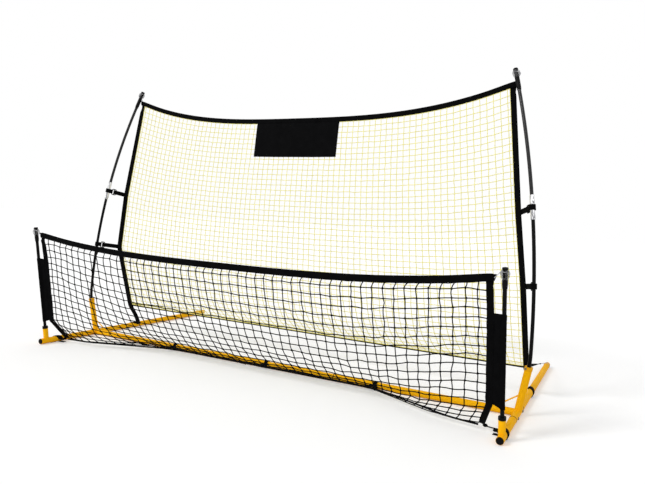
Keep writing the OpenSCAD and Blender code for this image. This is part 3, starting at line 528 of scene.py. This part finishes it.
class Maker(Tree):
    """A procedural material."""

    def __init__(self, name, **sockets):
        self.material = MAT[name] = bpy.data.materials.new(name)
        super().__init__(self.material, "Principled BSDF")
        for key, value in sockets.items():
            self.shader.inputs[key.replace("_", " ")].default_value = value

    def noise(self, scale, detail=3.0, stretch=None):
        where = self.node("ShaderNodeTexCoord").outputs["Object"]
        if stretch:
            where = self.node("ShaderNodeMapping", {"Vector": where, "Scale": stretch}).outputs[0]
        return self.node("ShaderNodeTexNoise", {"Vector": where, "Scale": scale, "Detail": detail}).outputs["Fac"]

    def lay(self):
        n = self.node("ShaderNodeAttribute", attribute_name="lay")
        s = self.node("ShaderNodeSeparateXYZ", {0: n.outputs["Vector"]})
        return s.outputs[0], s.outputs[1]

    def wave(self, value, pitch):
        """A sine from -1 to 1 that repeats every pitch."""
        return self.math("SINE", self.math("MULTIPLY", value, 2 * math.pi / pitch))

    def colour(self, share, a, b):
        n = self.node("ShaderNodeMix", {"Factor": share, "A": (*a, 1), "B": (*b, 1)}, data_type="RGBA")
        self.feed(self.shader.inputs["Base Color"], n.outputs["Result"])

    def rough(self, value, low, high):
        self.feed(self.shader.inputs["Roughness"], self.spread(value, 0.3, 0.7, low, high))

    def bump(self, height, distance, strength=1.0):
        n = self.node("ShaderNodeBump", {"Distance": distance, "Strength": strength, "Height": height})
        self.feed(self.shader.inputs["Normal"], n.outputs[0])


def smooth(name, dark, light, shade, rough, relief=None, **sockets):
    """A smooth finish. shade is the scale of its patches, rough the scale, least and most of its
    roughness, and relief the scale and detail of its bumps, their height and their strength."""
    m = Maker(name, **sockets)
    m.colour(m.noise(shade), dark, light)
    m.rough(m.noise(rough[0]), *rough[1:])
    if relief:
        m.bump(m.noise(*relief[:2]), *relief[2:])


def drawn(name, dark, light, streaks, rough, relief, contrast=(0.0, 1.0), **sockets):
    """A drawn rod or tube: stripes run along it. Their light stripes are painted highlights on the upper rods and
    painted reflections on the ferrule.
    """
    m = Maker(name, **sockets)
    streak_and_highlight = m.noise(*streaks)
    m.colour(m.spread(streak_and_highlight, *contrast), dark, light)
    m.rough(streak_and_highlight, *rough)
    m.bump(streak_and_highlight, *relief)


def woven(name, dark, light, warp, weft, depth):
    """Cloth or webbing: threads run along and across, each over and under the next."""
    m = Maker(name, **DULL)
    across, along = m.lay()
    a = m.wave(across, 2 * warp)
    b = m.wave(along, 2 * weft)
    weave = m.math("MULTIPLY", a, b)
    ribs = m.math("ABSOLUTE", a)
    height = m.math("ADD", m.math("MULTIPLY", weave, 0.5), ribs)
    # The colour follows the weave's relief, darker in the hollows between threads: painted shade, on top of a
    # random tone from the noise.
    m.colour(m.spread(m.math("ADD", m.math("MULTIPLY", height, 0.3), m.noise(35.0)), 0.2, 1.0), dark, light)
    m.rough(m.noise(500.0), 0.7, 0.9)
    m.bump(height, depth, 0.8)


def braided(name, dark, light, pitch, depth, strands=3, **sockets):
    """A cord whose strands wind both ways round it."""
    m = Maker(name, Roughness=0.75, **sockets)
    turn, along = m.lay()
    round_it = m.math("MULTIPLY", turn, 2 * math.pi * strands)
    down_it = m.math("MULTIPLY", along, 2 * math.pi / pitch)
    one = m.math("SINE", m.math("ADD", round_it, down_it))
    two = m.math("SINE", m.math("SUBTRACT", round_it, down_it))
    height = m.math("MULTIPLY", one, two)
    # The colour follows the strands' relief, darker in the grooves between them: painted shade, on top of a random
    # tone from the noise.
    m.colour(m.spread(m.math("ADD", m.math("MULTIPLY", height, 0.4), m.noise(50.0)), 0.1, 0.9), dark, light)
    m.bump(height, depth, 0.8)


BLACK, SOFT_BLACK = (0.0010, 0.0010, 0.0012), (0.0036, 0.0036, 0.0040)
DULL = {"Specular_IOR_Level": 0.03}
MOULDED = (2200.0, 2.0, 0.00008, 0.5)
ROD = {"streaks": (900.0, 3.0, (1.0, 1.0, 0.03)), "rough": (0.22, 0.40), "relief": (0.00005, 0.6)}
smooth("powder_coated_steel", (0.91, 0.440, 0.003), (0.98, 0.50, 0.005), 14.0, (160.0, 0.46, 0.60),
       (900.0, 2.0, 0.00012, 0.5), Specular_IOR_Level=0.04)
smooth("zinc_steel", (0.14, 0.14, 0.14), (0.30, 0.30, 0.29), 220.0, (900.0, 0.28, 0.5), Metallic=0.9)
smooth("black_plastic", (0.0015, 0.0015, 0.0017), (0.004, 0.004, 0.0043), 60.0, (400.0, 0.4, 0.6),
       MOULDED, Specular_IOR_Level=0.08)
smooth("amber_plastic", (0.74, 0.34, 0.006), (0.88, 0.43, 0.010), 60.0, (400.0, 0.45, 0.6),
       MOULDED, Specular_IOR_Level=0.05)
# Slightly smoky: the tip's dark neck shows through it.
smooth("clear_plastic", (0.06, 0.06, 0.065), (0.15, 0.15, 0.16), 90.0, (300.0, 0.18, 0.30),
       (700.0, 3.0, 0.00008, 0.4), Alpha=0.27, Specular_IOR_Level=0.3)
drawn("black_fibreglass", (0.0012, 0.0012, 0.0014), SOFT_BLACK, Specular_IOR_Level=0.08, **ROD)
# The ferrule's stripes run from near black to near white: painted reflections of dark and bright surroundings.
drawn("ferrule_metal", (0.10, 0.10, 0.11), (0.90, 0.90, 0.91), (420.0, 2.0, (1.0, 1.0, 0.04)), (0.22, 0.36),
      (0.00006, 0.5), (0.36, 0.56), Metallic=0.85)
braided("pale_elastic", (0.36, 0.36, 0.38), (0.62, 0.62, 0.64), 0.0022, 0.0002)
braided("yellow_netting", (0.86, 0.77, 0.22), (0.96, 0.91, 0.36), 0.004, 0.0002, 2, **DULL)
braided("black_netting", (0.0015, 0.0015, 0.0018), (0.005, 0.005, 0.0055), 0.004, 0.0003, 2, **DULL)
braided("black_cord", BLACK, SOFT_BLACK, 0.003, 0.0003, **DULL)
woven("black_fabric", BLACK, SOFT_BLACK, 0.0006, 0.0006, 0.00015)
woven("black_webbing", BLACK, SOFT_BLACK, 0.0008, 0.0011, 0.0003)
braided("black_thread", (0.003, 0.003, 0.0035), (0.007, 0.007, 0.0075), 0.001, 0.0001, **DULL)
# A lighter copy of the black fibreglass for the upper rods: its grey stripes are painted highlights.
drawn("fibreglass_painted_highlight", (0.003, 0.003, 0.0035), (0.016, 0.016, 0.017), Specular_IOR_Level=0.2, Coat_Weight=0.08,
      Coat_Roughness=0.2, **ROD)


# ---- cords
def cord_piece(name, path, diameter, slot):
    """A free cord as a tube along its path."""
    shape = Shape()
    tube(shape, path, diameter / 2, 10, ref=(0.3, 0.2, 1))
    shape.obj(name, slot)


def both_sides(path):
    """A right-hand path and its mirror image, with their sides' names."""
    path = np.asarray(path, float)
    return zip(SIDES, (path, path * FLIP))


def rear_corner_cords():
    """From the net's lower corner to the rail's rear end: a black tie, then elastic."""
    ring_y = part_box("elastic_cords")[1].y - CORD_D / 2
    end = np.array([RAIL_X, ring_y, RAIL_Z + TUBE_R + CORD_D / 2])
    meet = mix(TIE_START, end, 0.6)
    for side, path in both_sides([TIE_START, meet, end]):
        cord_piece("corner_tie_" + side, resample(path[:2], 24), CORD_D, "black_cord")
        cord_piece("corner_elastic_" + side, resample(path[1:], 20), CORD_D, "pale_elastic")
    return meet, ring_y


def tip_loop(top, foot, corner):
    """An elastic loop: from the net's corner up into the tip's slot, round the neck and back."""
    axis = unit(top - foot)
    out = unit(square_to(corner - top, axis))
    side = np.cross(axis, out)
    neck = top - 0.012 * axis
    r = NECK_R + LOOP_D / 2 + 0.0001
    bend = top - 0.018 * axis + 0.0167 * out
    half = [corner + side * 0.0013, bend + side * 0.0014, neck + (r + 0.002) * out + side * r * 0.8,
            neck + side * r, neck - 0.7 * r * out + 0.7 * r * side]
    other = [p - 2 * ((p - neck) @ side) * side for p in half[::-1]]
    return spline(half + [neck - r * out] + other, 5)


def tip_cords():
    tips = right_half("pole_tips")
    high = tips[:, 2] > 0.8
    for name, co, corner in (("rear", tips[high], rebound_top_high[-1] + [-0.0033, 0, 0.0014]),
                             ("front", tips[~high], FRONT_CORNER + [0.0014, 0, 0.011])):
        d = co @ pole_end_axis(name)
        loop = tip_loop(co[d > d.max() - 2e-4].mean(0), co[d < d.min() + 2e-4].mean(0), corner)
        for side, path in both_sides(loop):
            cord_piece("tip_loop_" + name + "_" + side, path, LOOP_D, "pale_elastic")


def pole_end_axis(name):
    """Which way a right-hand pole points at its top."""
    co = vertices("rear_pole_upper_right" if name == "rear" else "front_pole_right")
    if name == "rear":
        co = co[co[:, 2] > co[:, 2].max() - 0.03]
    z = co[:, 2]
    return unit(co[z > z.max() - 0.003].mean(0) - co[z < z.min() + 0.003].mean(0))


TIE_START = LOW_CORNER + [-0.004, CORD_D, 0.004]
TIE_MEET, RING_Y = rear_corner_cords()
tip_cords()
straps = right_half("rail_straps")
FRONT_STRAP_Y = mid_of(straps[(straps[:, 1] < -0.3) & (straps[:, 0] > RAIL_X)][:, 1])


def front_corner_cords():
    """From the front net's lower corner to the strap on the rail."""
    start = FRONT_LOW_CORNER + [-0.006, 0, -0.002]
    end = np.array([RAIL_X - TUBE_R - 0.0006, FRONT_STRAP_Y, RAIL_Z])
    sag = mix(start, end, 0.5) + [0, 0, -0.0015]
    for side, p in both_sides(resample(spline([start, sag, end], 6), 16)):
        cord_piece("front_corner_cord_" + side, p, FRONT_CORD_D, "black_cord")


front_corner_cords()


# ---- nets
def net(name, node, grid, cord, slot, cuts, swell, wobble, seed, knots=0.0):
    """A net of cords through a grid of crossings. cuts are the places of the rings in each gap, from
    0 to 1, and swell is how much thicker a cord is where it crosses another."""
    rng = np.random.default_rng(seed)
    rows, cols = grid.shape[0] - 1, grid.shape[1] - 1
    grid[1:-1, 1:-1] += rng.normal(0, wobble, grid[1:-1, 1:-1].shape) * [1, 0.4, 1]
    shape = Shape()
    cuts = np.asarray(cuts)
    radii = np.where(cuts == 0, swell, 1.0) * cord / 2

    def line(points, wave):
        fine = spline(points, 20)
        steps = len(points) - 1
        at = np.concatenate([i + cuts for i in range(steps)] + [[steps]])
        path = look_up(at * 20, np.arange(len(fine)), fine)
        push = rng.normal(0, wave, (steps, 3)) * [1, 0.4, 1]
        path[:-1] += np.repeat(push, len(cuts), 0) * np.tile(np.sin(math.pi * cuts), steps)[:, None]
        return path, np.concatenate([np.tile(radii, steps), [swell * cord / 2]])

    for lines, wave in ((grid.swapaxes(0, 1), wobble * 0.6), (grid, wobble * 0.35)):
        for points in lines:
            tube(shape, *line(points, wave), 5)
    if knots:
        for i in range(1, rows):
            for j in range(1, cols):
                turn = rng.uniform(0, math.pi)
                x_axis = np.array([math.cos(turn), 0, math.sin(turn)])
                z_axis = np.array([-math.sin(turn), 0, math.cos(turn)])
                size = knots * rng.uniform(0.85, 1.15, 3)
                blob(shape, grid[i, j], size, np.array([x_axis, BACK, z_axis]), 6)
    shape.obj(name, slot, node)


net("rebound_netting", "rebound_net", rebound_grid(), YELLOW_CORD, "yellow_netting", cuts=(0, 0.12, 0.88),
    swell=1.4, wobble=0.0006, seed=11)
net("front_netting", "front_net", front_grid(), BLACK_CORD, "black_netting", cuts=(0, 0.12, 0.5, 0.88),
    swell=1.15, wobble=0.0014, seed=23, knots=KNOT_R)


# ---- tapes and webbing
def sewn_band(name, left, right, normal, thick, node, side="right", per=4, seam=0.003):
    """A tape with a row of stitches along each edge, on both faces."""
    shape, sewing = Shape(), Shape()
    left, right = spline(left, per), spline(right, per)
    band(shape, left, right, normal, thick)
    wide = right - left
    inset = seam / np.linalg.norm(wide, axis=1)[:, None]
    for share in (inset, 1 - inset):
        for n in (normal, -normal):
            stitches(sewing, left + wide * share + n * thick / 2, n)
    shape.on(side).obj(name, "black_webbing", node)
    sewing.on(side).obj(name + "_stitches", "black_webbing", material="black_thread")


def run_up(edge, high):
    """A side webbing's edge, with its top run on behind the top tape."""
    top, back = edge[-1], 0.0029
    return np.vstack([edge[:-1], top + [0, 0, -0.014], top + [0, back, -0.003], top + [0, back, high]])


def pointed(low, high, reach, left):
    """A top tape's lower and upper edge, drawn out at both ends almost to a point, left high."""
    first, last = high[0] + [-reach, 0, 0.0006], high[-1] + [reach, 0, 0.0006]
    drop = np.array([0, 0, left])
    return np.vstack([first - drop, low, last - drop]), np.vstack([first, high, last])


def side_webbings(name, inner, outer, nodes, high):
    for side, node in zip(SIDES, nodes):
        sewn_band(name + side, run_up(outer, high), run_up(inner, high), -BACK, TAPE_T * 0.8, node, side, per=3)


def foot_tape():
    """The front net's foot tape, which stands nearly upright."""
    low = front_foot_high + [0, 0.0014, -0.0066]
    sewn_band("front_foot_tape", low, front_foot_high + [0, 0, 0.0004], unit([0, -0.98, -0.2]), TAPE_T * 0.8,
              "front_bottom_tape", seam=0.002)


sewn_band("rebound_edge_tape", *pointed(rebound_top_low, rebound_top_high, 0.004, 0.012), -BACK, TAPE_T,
          "rebound_top_tape")
sewn_band("front_edge_tape", *pointed(front_top_low, front_top_high, 0.007, 0.006), -BACK, TAPE_T,
          "front_top_tape")
side_webbings("rebound_side_webbing_", rebound_inner, rebound_outer,
              ("rebound_side_tape_right", "rebound_side_tape_left"), 0.017)
side_webbings("front_side_webbing_", front_inner, front_outer, ("front_side_tapes",) * 2, 0.016)
foot_tape()


def rebound_foot():
    """The net's bottom edge: a thin black band, and a selvedge of three thin cords above it."""
    black, yellow = Shape(), Shape()
    line = resample([rebound_inner[0] * FLIP, rebound_inner[0]], 60)
    ribbon(black, line + [0, 0, -0.0042], -BACK, 0.0066, 0.003)
    for k in range(3):
        tube(yellow, line + [0, -0.0006, 0.0048 * k + 0.0004], 0.0009, 6)
    black.obj("rebound_foot_band", "black_cord", "rebound_bottom_tape")
    yellow.obj("rebound_foot_selvedge", "yellow_netting")


rebound_foot()


# ---- panel
def panel():
    """The plain cloth panel that hangs from the top tape, with a hem at its sides and foot."""
    low, high = (resample(spline(edge, 4), 61) for edge in edge_columns(vertices("target_panel")))
    rng = np.random.default_rng(5)
    rows = 28
    s = np.linspace(0, 1, 61)
    drop = np.linspace(1, 0, rows)[:, None]     # 1 at the foot
    grid = mix(low, high, 1 - drop[..., None])
    ripple = sum(rng.uniform(0.3, 1) * np.sin(2 * math.pi * (k * s + rng.uniform())) for k in (2, 3, 5))
    grid[..., 1] += 0.0006 * drop * ripple + 0.0026 * np.clip(1 - drop / 0.06, 0, 1)
    grid[-1, :, 2] += 0.004
    from_edge = np.minimum(np.minimum(s, 1 - s) * PANEL[0], (1 - drop) * (PANEL[1] - 0.004))
    normals = -grid_normals(grid)
    shape, sewing = Shape(), Shape()
    slab(shape, grid, normals, FABRIC_T + 0.0009 * (from_edge < 0.008))
    front = grid + normals * (FABRIC_T / 2 + 0.0005)
    for seam in (front[2, 2:-2], front[2:-2, 1], front[2:-2, -2]):
        stitches(sewing, seam, -BACK)
    o = shape.obj("plain_panel", "black_fabric", "target_panel")
    t = sewing.obj("plain_panel_stitches", "black_fabric", material="black_thread")


panel()


# ---- sleeves of the front poles
def pole_line(node):
    """The middle of a straight pole, its direction and its radius."""
    axis, base = pole_end_axis("front"), middle(node)
    off = square_to(vertices(node) - base, axis)
    return base, axis, float(np.linalg.norm(off, axis=1).max())


SLEEVE_TURN = math.radians(11)


def sleeve():
    """A cloth sleeve: a tunnel round the pole, and a flat part that runs in under the side webbing."""
    base, axis, pole_r = pole_line("front_pole_right")
    co = right_half("front_sleeve_right")
    foot_z, top_z = co[:, 2].min() + 0.001, co[:, 2].max()
    hug, slant, flat_end = pole_r + 0.0009, 0.010, 0.0335
    turn = np.radians(np.linspace(-150, 150, 22))
    profile = np.array([
        (-flat_end, 0.0012), (-0.024, 0.0010), (-0.016, 0.0012), (-0.0112, 0.0022),
        *zip(hug * np.cos(turn), -hug * np.sin(turn)),
        (-0.0112, -0.0006), (-0.016, -0.0006), (-0.024, -0.0008), (-flat_end, -0.0008)])
    rng = np.random.default_rng(3)
    n = 44
    grid = np.zeros((n, len(profile), 3))
    inward = np.clip(-profile[:, 0] / 0.028, 0, 1)
    cos, sin = math.cos(SLEEVE_TURN), math.sin(SLEEVE_TURN)
    x = profile[:, 0] * cos - profile[:, 1] * sin
    y = -profile[:, 1] * cos - profile[:, 0] * sin
    for i, t in enumerate(np.linspace(0, 1, n)):
        z = mix(foot_z + slant * inward, top_z, t)
        puff = 0.0006 * np.sin(9 * t * math.pi + 100 * profile[:, 0]) * math.sin(math.pi * t)
        puff = puff * (profile[:, 0] < -0.008)
        grid[i] = base + axis * ((z - base[2]) / axis[2])[:, None] + np.stack([x, y + puff, 0 * x], 1)
    return grid + rng.normal(0, 0.00008, grid.shape)


def sleeves():
    grid = sleeve()
    normals = grid_normals(grid)
    hem = np.zeros(grid.shape[:2])
    hem[:3] = hem[-3:] = 0.0007
    shape, sewing = Shape(), Shape()
    slab(shape, grid, normals, SLEEVE_T + hem)
    for row in (2, -3):
        stitches(sewing, grid[row, :4] - BACK * 0.0008, -BACK)
    stitches(sewing, grid[2:-2, 3] - BACK * 0.0007, -BACK)
    for side in SIDES:
        o = shape.on(side).obj("pole_sleeve_" + side, "black_fabric", "front_sleeve_" + side)
        t = sewing.on(side).obj("pole_sleeve_stitches_" + side, "black_fabric", material="black_thread")


sleeves()


# ---- straps from the net to the poles
def strap_facts(level):
    """Where a right-hand strap goes: its loop's centre, the way d to the net, s and t square to it (t is
    the way across the webbing), the loop's radius, and how far from the centre the net and slider are."""
    name = "slider_" + level + "_right_slide"
    strap = "pole_strap_" + level + "_right"
    d = unit([j for j in frame["joints"] if j["name"] == name][0]["axis"])
    faces = frame["nodes"][strap].data.polygons
    upper = [p.normal for p in faces if abs(p.normal.dot(Vector(d))) < 0.02 and p.normal.z > 0.9]
    t = unit(square_to(np.mean(upper, axis=0), d))
    s = np.cross(t, d)
    co = vertices(strap)
    wide, along = co @ s, co @ d
    loop_r = (wide.max() - wide.min()) / 2
    centre = (along.min() + loop_r) * d + (wide.max() - loop_r) * s + mid_of(co @ t) * t
    slider = mid_of(vertices("strap_slider_" + level + "_right") @ d) - centre @ d
    return centre, d, s, t, loop_r, along.max() - centre @ d, slider


SLIDER_L, SLIDER_W, SLIDER_BAR = 0.022, 0.0308, 0.0032


def slider_shape(at, d, s, t):
    """A three-bar slider with round bars."""
    shape = Shape()
    half_l, half_w, r = SLIDER_L / 2 - SLIDER_BAR / 2, SLIDER_W / 2 - 0.0022, 0.004
    corners = []
    for cx, cy, start in ((1, 1, 0), (-1, 1, 90), (-1, -1, 180), (1, -1, 270)):
        for b in np.radians(start + np.array([0, 30, 60, 90])):
            corners.append(at + d * (cx * (half_l - r) + r * np.cos(b)) + t * (cy * (half_w - r) + r * np.sin(b)))
    bar = resample([at - t * half_w, at + t * half_w], 8)
    section = circle(1, 10) * [SLIDER_BAR * 0.62, SLIDER_BAR / 2]
    for path, closed in ((np.array(corners), True), (bar, False)):
        sweep(shape, path, *frames(path, s, closed), section, closed)
    return shape


def pole_strap(level):
    """The loop round a pole, with its loose end, and the strap from the slider to the net, on both sides."""
    centre, d, s, t, loop_r, reach, slider_at = strap_facts(level)
    pole_r = loop_r - 2 * WEB_T
    end_bar = slider_at - SLIDER_L / 2 + SLIDER_BAR / 2
    wrap = SLIDER_BAR / 2 + WEB_T / 2 + 0.0002
    wide = pole_r + 0.0035
    flank = mix(end_bar, 0, 0.55)
    loop = [(end_bar + wrap, 0), (end_bar, wrap), (flank, wide * 0.62), (0.001, wide),
            (-pole_r * 0.85, wide * 0.62), (-pole_r - WEB_T, 0)]
    loop += [(x, -y) for x, y in loop[4:0:-1]]
    tail = [(end_bar - 0.002, wrap + WEB_T + 0.0002), (flank, wide * 0.66 + WEB_T),
            (0.001, wide + WEB_T + 0.0003), (-pole_r * 0.9, wide * 0.72 + WEB_T),
            (-pole_r - 2.4 * WEB_T, 0.001), (-pole_r * 0.9 - 0.002, -wide * 0.5)]
    net_end = reach + 0.0115
    hold = [(slider_at - wrap, 0), (slider_at, wrap), (slider_at + 0.012, WEB_T * 0.8), (reach * 0.8, WEB_T * 0.6),
            (net_end - 0.008, WEB_T * 0.55), (net_end, WEB_T * 0.5)]
    under = [(x, -y) for x, y in hold[:0:-1]]

    def put(points):
        return np.array([centre + x * d + y * s for x, y in points])

    ring, strap, sewing = Shape(), Shape(), Shape()
    ribbon(ring, closed_spline(put(loop), 6), t, WEB_W, WEB_T, closed=True, across=True)
    ribbon(ring, spline(put(tail), 6), t, WEB_W * 0.98, WEB_T, across=True)
    ribbon(strap, spline(put(under + hold), 5), t, WEB_W, WEB_T, across=True)
    for row in (-0.007, 0.007):
        for seam in ([(net_end - 0.011, WEB_T * 1.15), (net_end - 0.002, WEB_T * 1.1)],
                     [(reach * 0.55, WEB_T * 1.25), (reach * 0.75, WEB_T * 1.25)]):
            stitches(sewing, put(seam) + t * row, s)
    slider = slider_shape(centre + slider_at * d, d, s, t)
    for side in SIDES:
        name = level + "_" + side
        body, node = "slider_" + name, "pole_strap_" + name

        def turn_over(piece, first, last, *ends):
            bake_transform(piece)

        slider.on(side).obj("tri_glide_" + name, "black_plastic", "strap_slider_" + name, body)
        o = ring.on(side).obj("pole_loop_" + name, "black_webbing", node, None)
        turn_over(o, BODY, body, pole_r + 0.001, end_bar - 0.002)
        o = strap.on(side).obj("net_strap_" + name, "black_webbing", node, None)
        turn_over(o, body, BODY, slider_at + 0.006, reach - 0.004)
        o = sewing.on(side).obj("net_strap_stitches_" + name, "black_webbing", None, None, "black_thread")
        turn_over(o, body, BODY, slider_at + 0.006, reach - 0.004)


for strap_level in ("upper", "lower"):
    pole_strap(strap_level)


# ---- straps and ties on the tubes
# Inner radius of a strap's first and second turn round a tube
FIRST_TURN, SECOND_TURN = TUBE_R + 0.0001, TUBE_R + WEB_T + 0.0002


def tube_wrap(shape, centre, axis, radius, start, stop, pitch, width, thick=WEB_T):
    """A band wound round a tube, from one angle to another, in degrees from straight up."""
    angles = np.radians(np.linspace(start, stop, max(8, int(abs(stop - start) / 10))))[:, None]
    r, rise = radius + thick / 2, pitch / (2 * math.pi)
    radial = np.cos(angles) * UP + np.sin(angles) * np.cross(axis, UP)
    path = centre + axis * rise * (angles - angles.mean()) + radial * r
    half = width / 2 * math.hypot(1, rise / r)
    sweep(shape, path, np.tile(-axis, (len(path), 1)), radial, flat_section(half, thick / 2))
    return path[0]


def rear_strap(back):
    """The side webbing runs on down from the net's lower corner, and winds twice round the rail."""
    y = mid_of(straps[(straps[:, 1] > -0.1) & (straps[:, 2] < 0.02)][:, 1])
    shape = Shape()
    place = np.array([RAIL_X, y + back, RAIL_Z])
    tube_wrap(shape, place - [0, 0.010, 0], BACK, FIRST_TURN, -60, 250, -0.075, WEB_W)
    start = tube_wrap(shape, place + [0, 0.008, 0], BACK, SECOND_TURN, -80, 140, -0.090, WEB_W)
    edges = []
    for corner, y, end in ((rebound_inner[0], 0.003, start + BACK * WEB_W * 0.7),
                           (rebound_outer[0], 0.002, start - BACK * WEB_W * 0.7)):
        corner = corner + [0, 0.0024, 0.012]
        edges.append(spline([corner, corner + [0, y, -0.022], mix(corner, end, 0.6), end], 6))
    band(shape, *edges, (0, -1, 0.2), WEB_T)
    return shape


def front_strap(back):
    """A band round the rail that holds the front net's corner, with its loose end on the ground."""
    shape = Shape()
    place = np.array([RAIL_X, FRONT_STRAP_Y + back, RAIL_Z])
    tube_wrap(shape, place, BACK, FIRST_TURN, -100, 190, -0.040, WEB_W * 1.2)
    tube_wrap(shape, place, BACK, SECOND_TURN, -90, 140, -0.036, WEB_W * 0.9)
    path = place + [[-TUBE_R * 0.5, 0.014, -RAIL_Z + 0.0022], [-TUBE_R - 0.002, 0.016, -RAIL_Z + 0.0016],
                    [-TUBE_R - 0.024, 0.018, -RAIL_Z + 0.0012]]
    ribbon(shape, spline(path, 6), UP, WEB_W * 0.9, WEB_T)
    for knot, radii in ((place + [-TUBE_R - 0.006, 0.012, 0.001], (0.0085, 0.0085, 0.0065)),
                        (place + [-TUBE_R - 0.017, 0.014, 0.000], (0.0075, 0.0055, 0.0045)),
                        (FRONT_LOW_CORNER + [0.001, 0.004, -0.003], (0.008, 0.006, 0.0055))):
        blob(shape, knot, radii, count=12)
    return shape


# How far back each strap stands from its place in the CAD, on the right and on the left
for strap_name, make_strap, places_back in (("rear_rail_strap_", rear_strap, (0.045, -0.010)),
                                            ("front_rail_strap_", front_strap, (-0.032, -0.020))):
    for strap_side, place_back in zip(SIDES, places_back):
        make_strap(place_back).on(strap_side).obj(strap_name + strap_side, "black_webbing", "rail_straps")


def corner_knots():
    """The whipped knot between net and tie, and the elastic's turns round the rail's end."""
    black, pale = Shape(), Shape()
    blob(black, TIE_START, (0.006, 0.007, 0.0065), count=10)
    whip = resample([TIE_START, mix(TIE_START, TIE_MEET, 0.72)], 30)
    wound = 1 + 0.10 * np.sin(np.linspace(0, 50, 30))
    tube(black, whip, np.linspace(0.0074, 0.0024, 30) * wound, 10, ref=UP)
    blob(black, TIE_MEET, (0.0030, 0.0055, 0.0030))
    turns = np.linspace(0, 2, 60)
    angle, r = 2 * math.pi * turns, TUBE_R + 0.0008
    ring = np.stack([RAIL_X + r * np.sin(angle), RING_Y + 0.0016 * (turns - 1), RAIL_Z + r * np.cos(angle)], 1)
    tube(pale, ring, 0.0007)
    blob(pale, [RAIL_X, RING_Y, RAIL_Z + TUBE_R + 0.0022], (0.0028, 0.0034, 0.0022))
    for side in SIDES:
        black.on(side).obj("corner_tie_knots_" + side, "black_cord", "rear_corner_ties")
        pale.on(side).obj("rail_end_elastic_" + side, "pale_elastic", "elastic_cords")


corner_knots()


def crossbar_ties():
    """Three short ties that hold the front net's foot to the crossbar: a knot, two turns and loose ends."""
    co = vertices("crossbar_ties")
    outer = mid_of(co[co[:, 0] > 0.3][:, 0])
    foot = front_foot_high[len(front_foot_high) // 2, 1] - BAR_Y
    front = -TUBE_R - 0.0035
    tail = [[-0.002, front, 0], [-0.014, front - 0.001, 0.001], [-0.024, front - 0.0015, -0.004],
            [-0.032, front - 0.003, -0.0078]]
    hold = [[-0.003, front, -0.002], [-0.001, foot + 0.002, -0.0045], [0.001, foot - 0.0025, -0.006],
            [0.003, foot + 0.003, -0.0095]]
    for k, x in enumerate((-outer, 0.0, outer)):
        shape = Shape()
        place = np.array([x, BAR_Y, RAIL_Z])
        tube_wrap(shape, place, RIGHT, FIRST_TURN, 0, 352, 0.004, 0.014)
        tube_wrap(shape, place + [-0.004, 0, 0], RIGHT, TUBE_R + 0.0014, 10, 150, 0.010, 0.012)
        blob(shape, place + [0, -TUBE_R - 0.0050, 0], (0.0100, 0.0058, 0.0090), count=12)
        ribbon(shape, spline(place + tail, 6), -BACK, 0.0095, WEB_T)
        tube(shape, spline(place + hold, 6), 0.0022, ref=UP)
        shape.obj("crossbar_tie_%d" % (k + 1), "black_webbing", "crossbar_ties")


crossbar_ties()


# The dark ring over each gap is painted shade of the gap.
SEAM, SEAM_SHADE_RING = 0.0012, 0.0032    # width of the gap between two tubes, and of the dark ring that covers it


def seam_shade_rings():
    """Thin dark rings over the gaps between the tubes: painted shade of the gaps."""
    low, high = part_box("corner_joint_right")
    shape = Shape()
    for place, axis in (((RAIL_X, low.y - SEAM / 2, RAIL_Z), BACK), ((RAIL_X, high.y + SEAM / 2, RAIL_Z), BACK),
                        ((low.x - SEAM / 2, BAR_Y, RAIL_Z), RIGHT),
                        ((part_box("crossbar_right")[0].x - SEAM / 2, BAR_Y, RAIL_Z), RIGHT)):
        tube_wrap(shape, np.array(place), axis, FIRST_TURN, 0, 360, 0.0, SEAM_SHADE_RING, 0.0006)
    for side in SIDES:
        shape.on(side).obj("tube_seam_shades_" + side, "black_plastic")


seam_shade_rings()


# ---- finishes of the CAD nodes
def dress_nodes():
    slots = {row["node"]: row["material_slot"] for row in frame["record"]["subparts"]}
    for node, o in frame["nodes"].items():
        o.data.materials.clear()
        # The upper rods take the lighter copy of the fibreglass, whose grey is painted highlight.
        o.data.materials.append(MAT["fibreglass_painted_highlight" if node.startswith("rear_pole_upper") else slots[node]])


dress_nodes()


# ---- floor and light
def make_stage():
    """A pale floor, a little brighter to the camera alone."""
    half = 40.0
    mesh = bpy.data.meshes.new("floor")
    mesh.from_pydata([(-half, -half, 0), (half, -half, 0), (half, half, 0), (-half, half, 0)], [], [[0, 1, 2, 3]])
    add_object("floor", mesh)
    m = Maker("floor", Base_Color=(0.86, 0.86, 0.86, 1), Roughness=0.9, Specular_IOR_Level=0.1,
              Emission_Color=(1, 1, 1, 1))
    rays = m.node("ShaderNodeLightPath").outputs
    m.feed(m.shader.inputs["Emission Strength"], m.math("MULTIPLY", rays["Is Camera Ray"], 0.22))
    mesh.materials.append(m.material)


def make_lights():
    """Two soft suns, and a world that is white to the camera, to gloss and through clear plastic."""
    world = bpy.context.scene.world = bpy.data.worlds.new("world")
    tree = Tree(world, "Background")
    tree.shader.inputs["Color"].default_value = (1, 1, 1, 1)
    rays = tree.node("ShaderNodeLightPath").outputs
    seen = tree.math("MAXIMUM", rays["Is Camera Ray"], rays["Is Glossy Ray"])
    seen = tree.math("MAXIMUM", seen, rays["Is Transmission Ray"])
    tree.feed(tree.shader.inputs["Strength"], tree.spread(seen, 0.0, 1.0, 0.62, 1.0))
    for name, turn, strength, angle in (("key", (56, 0, -34), 1.5, 14), ("fill", (55, 0, 60), 0.35, 40)):
        data = bpy.data.lights.new(name, "SUN")
        data.energy = strength
        data.angle = math.radians(angle)
        add_object(name, data).rotation_euler = np.radians(turn)


make_stage()
make_lights()
bpy.context.scene.view_settings.view_transform = "Standard"
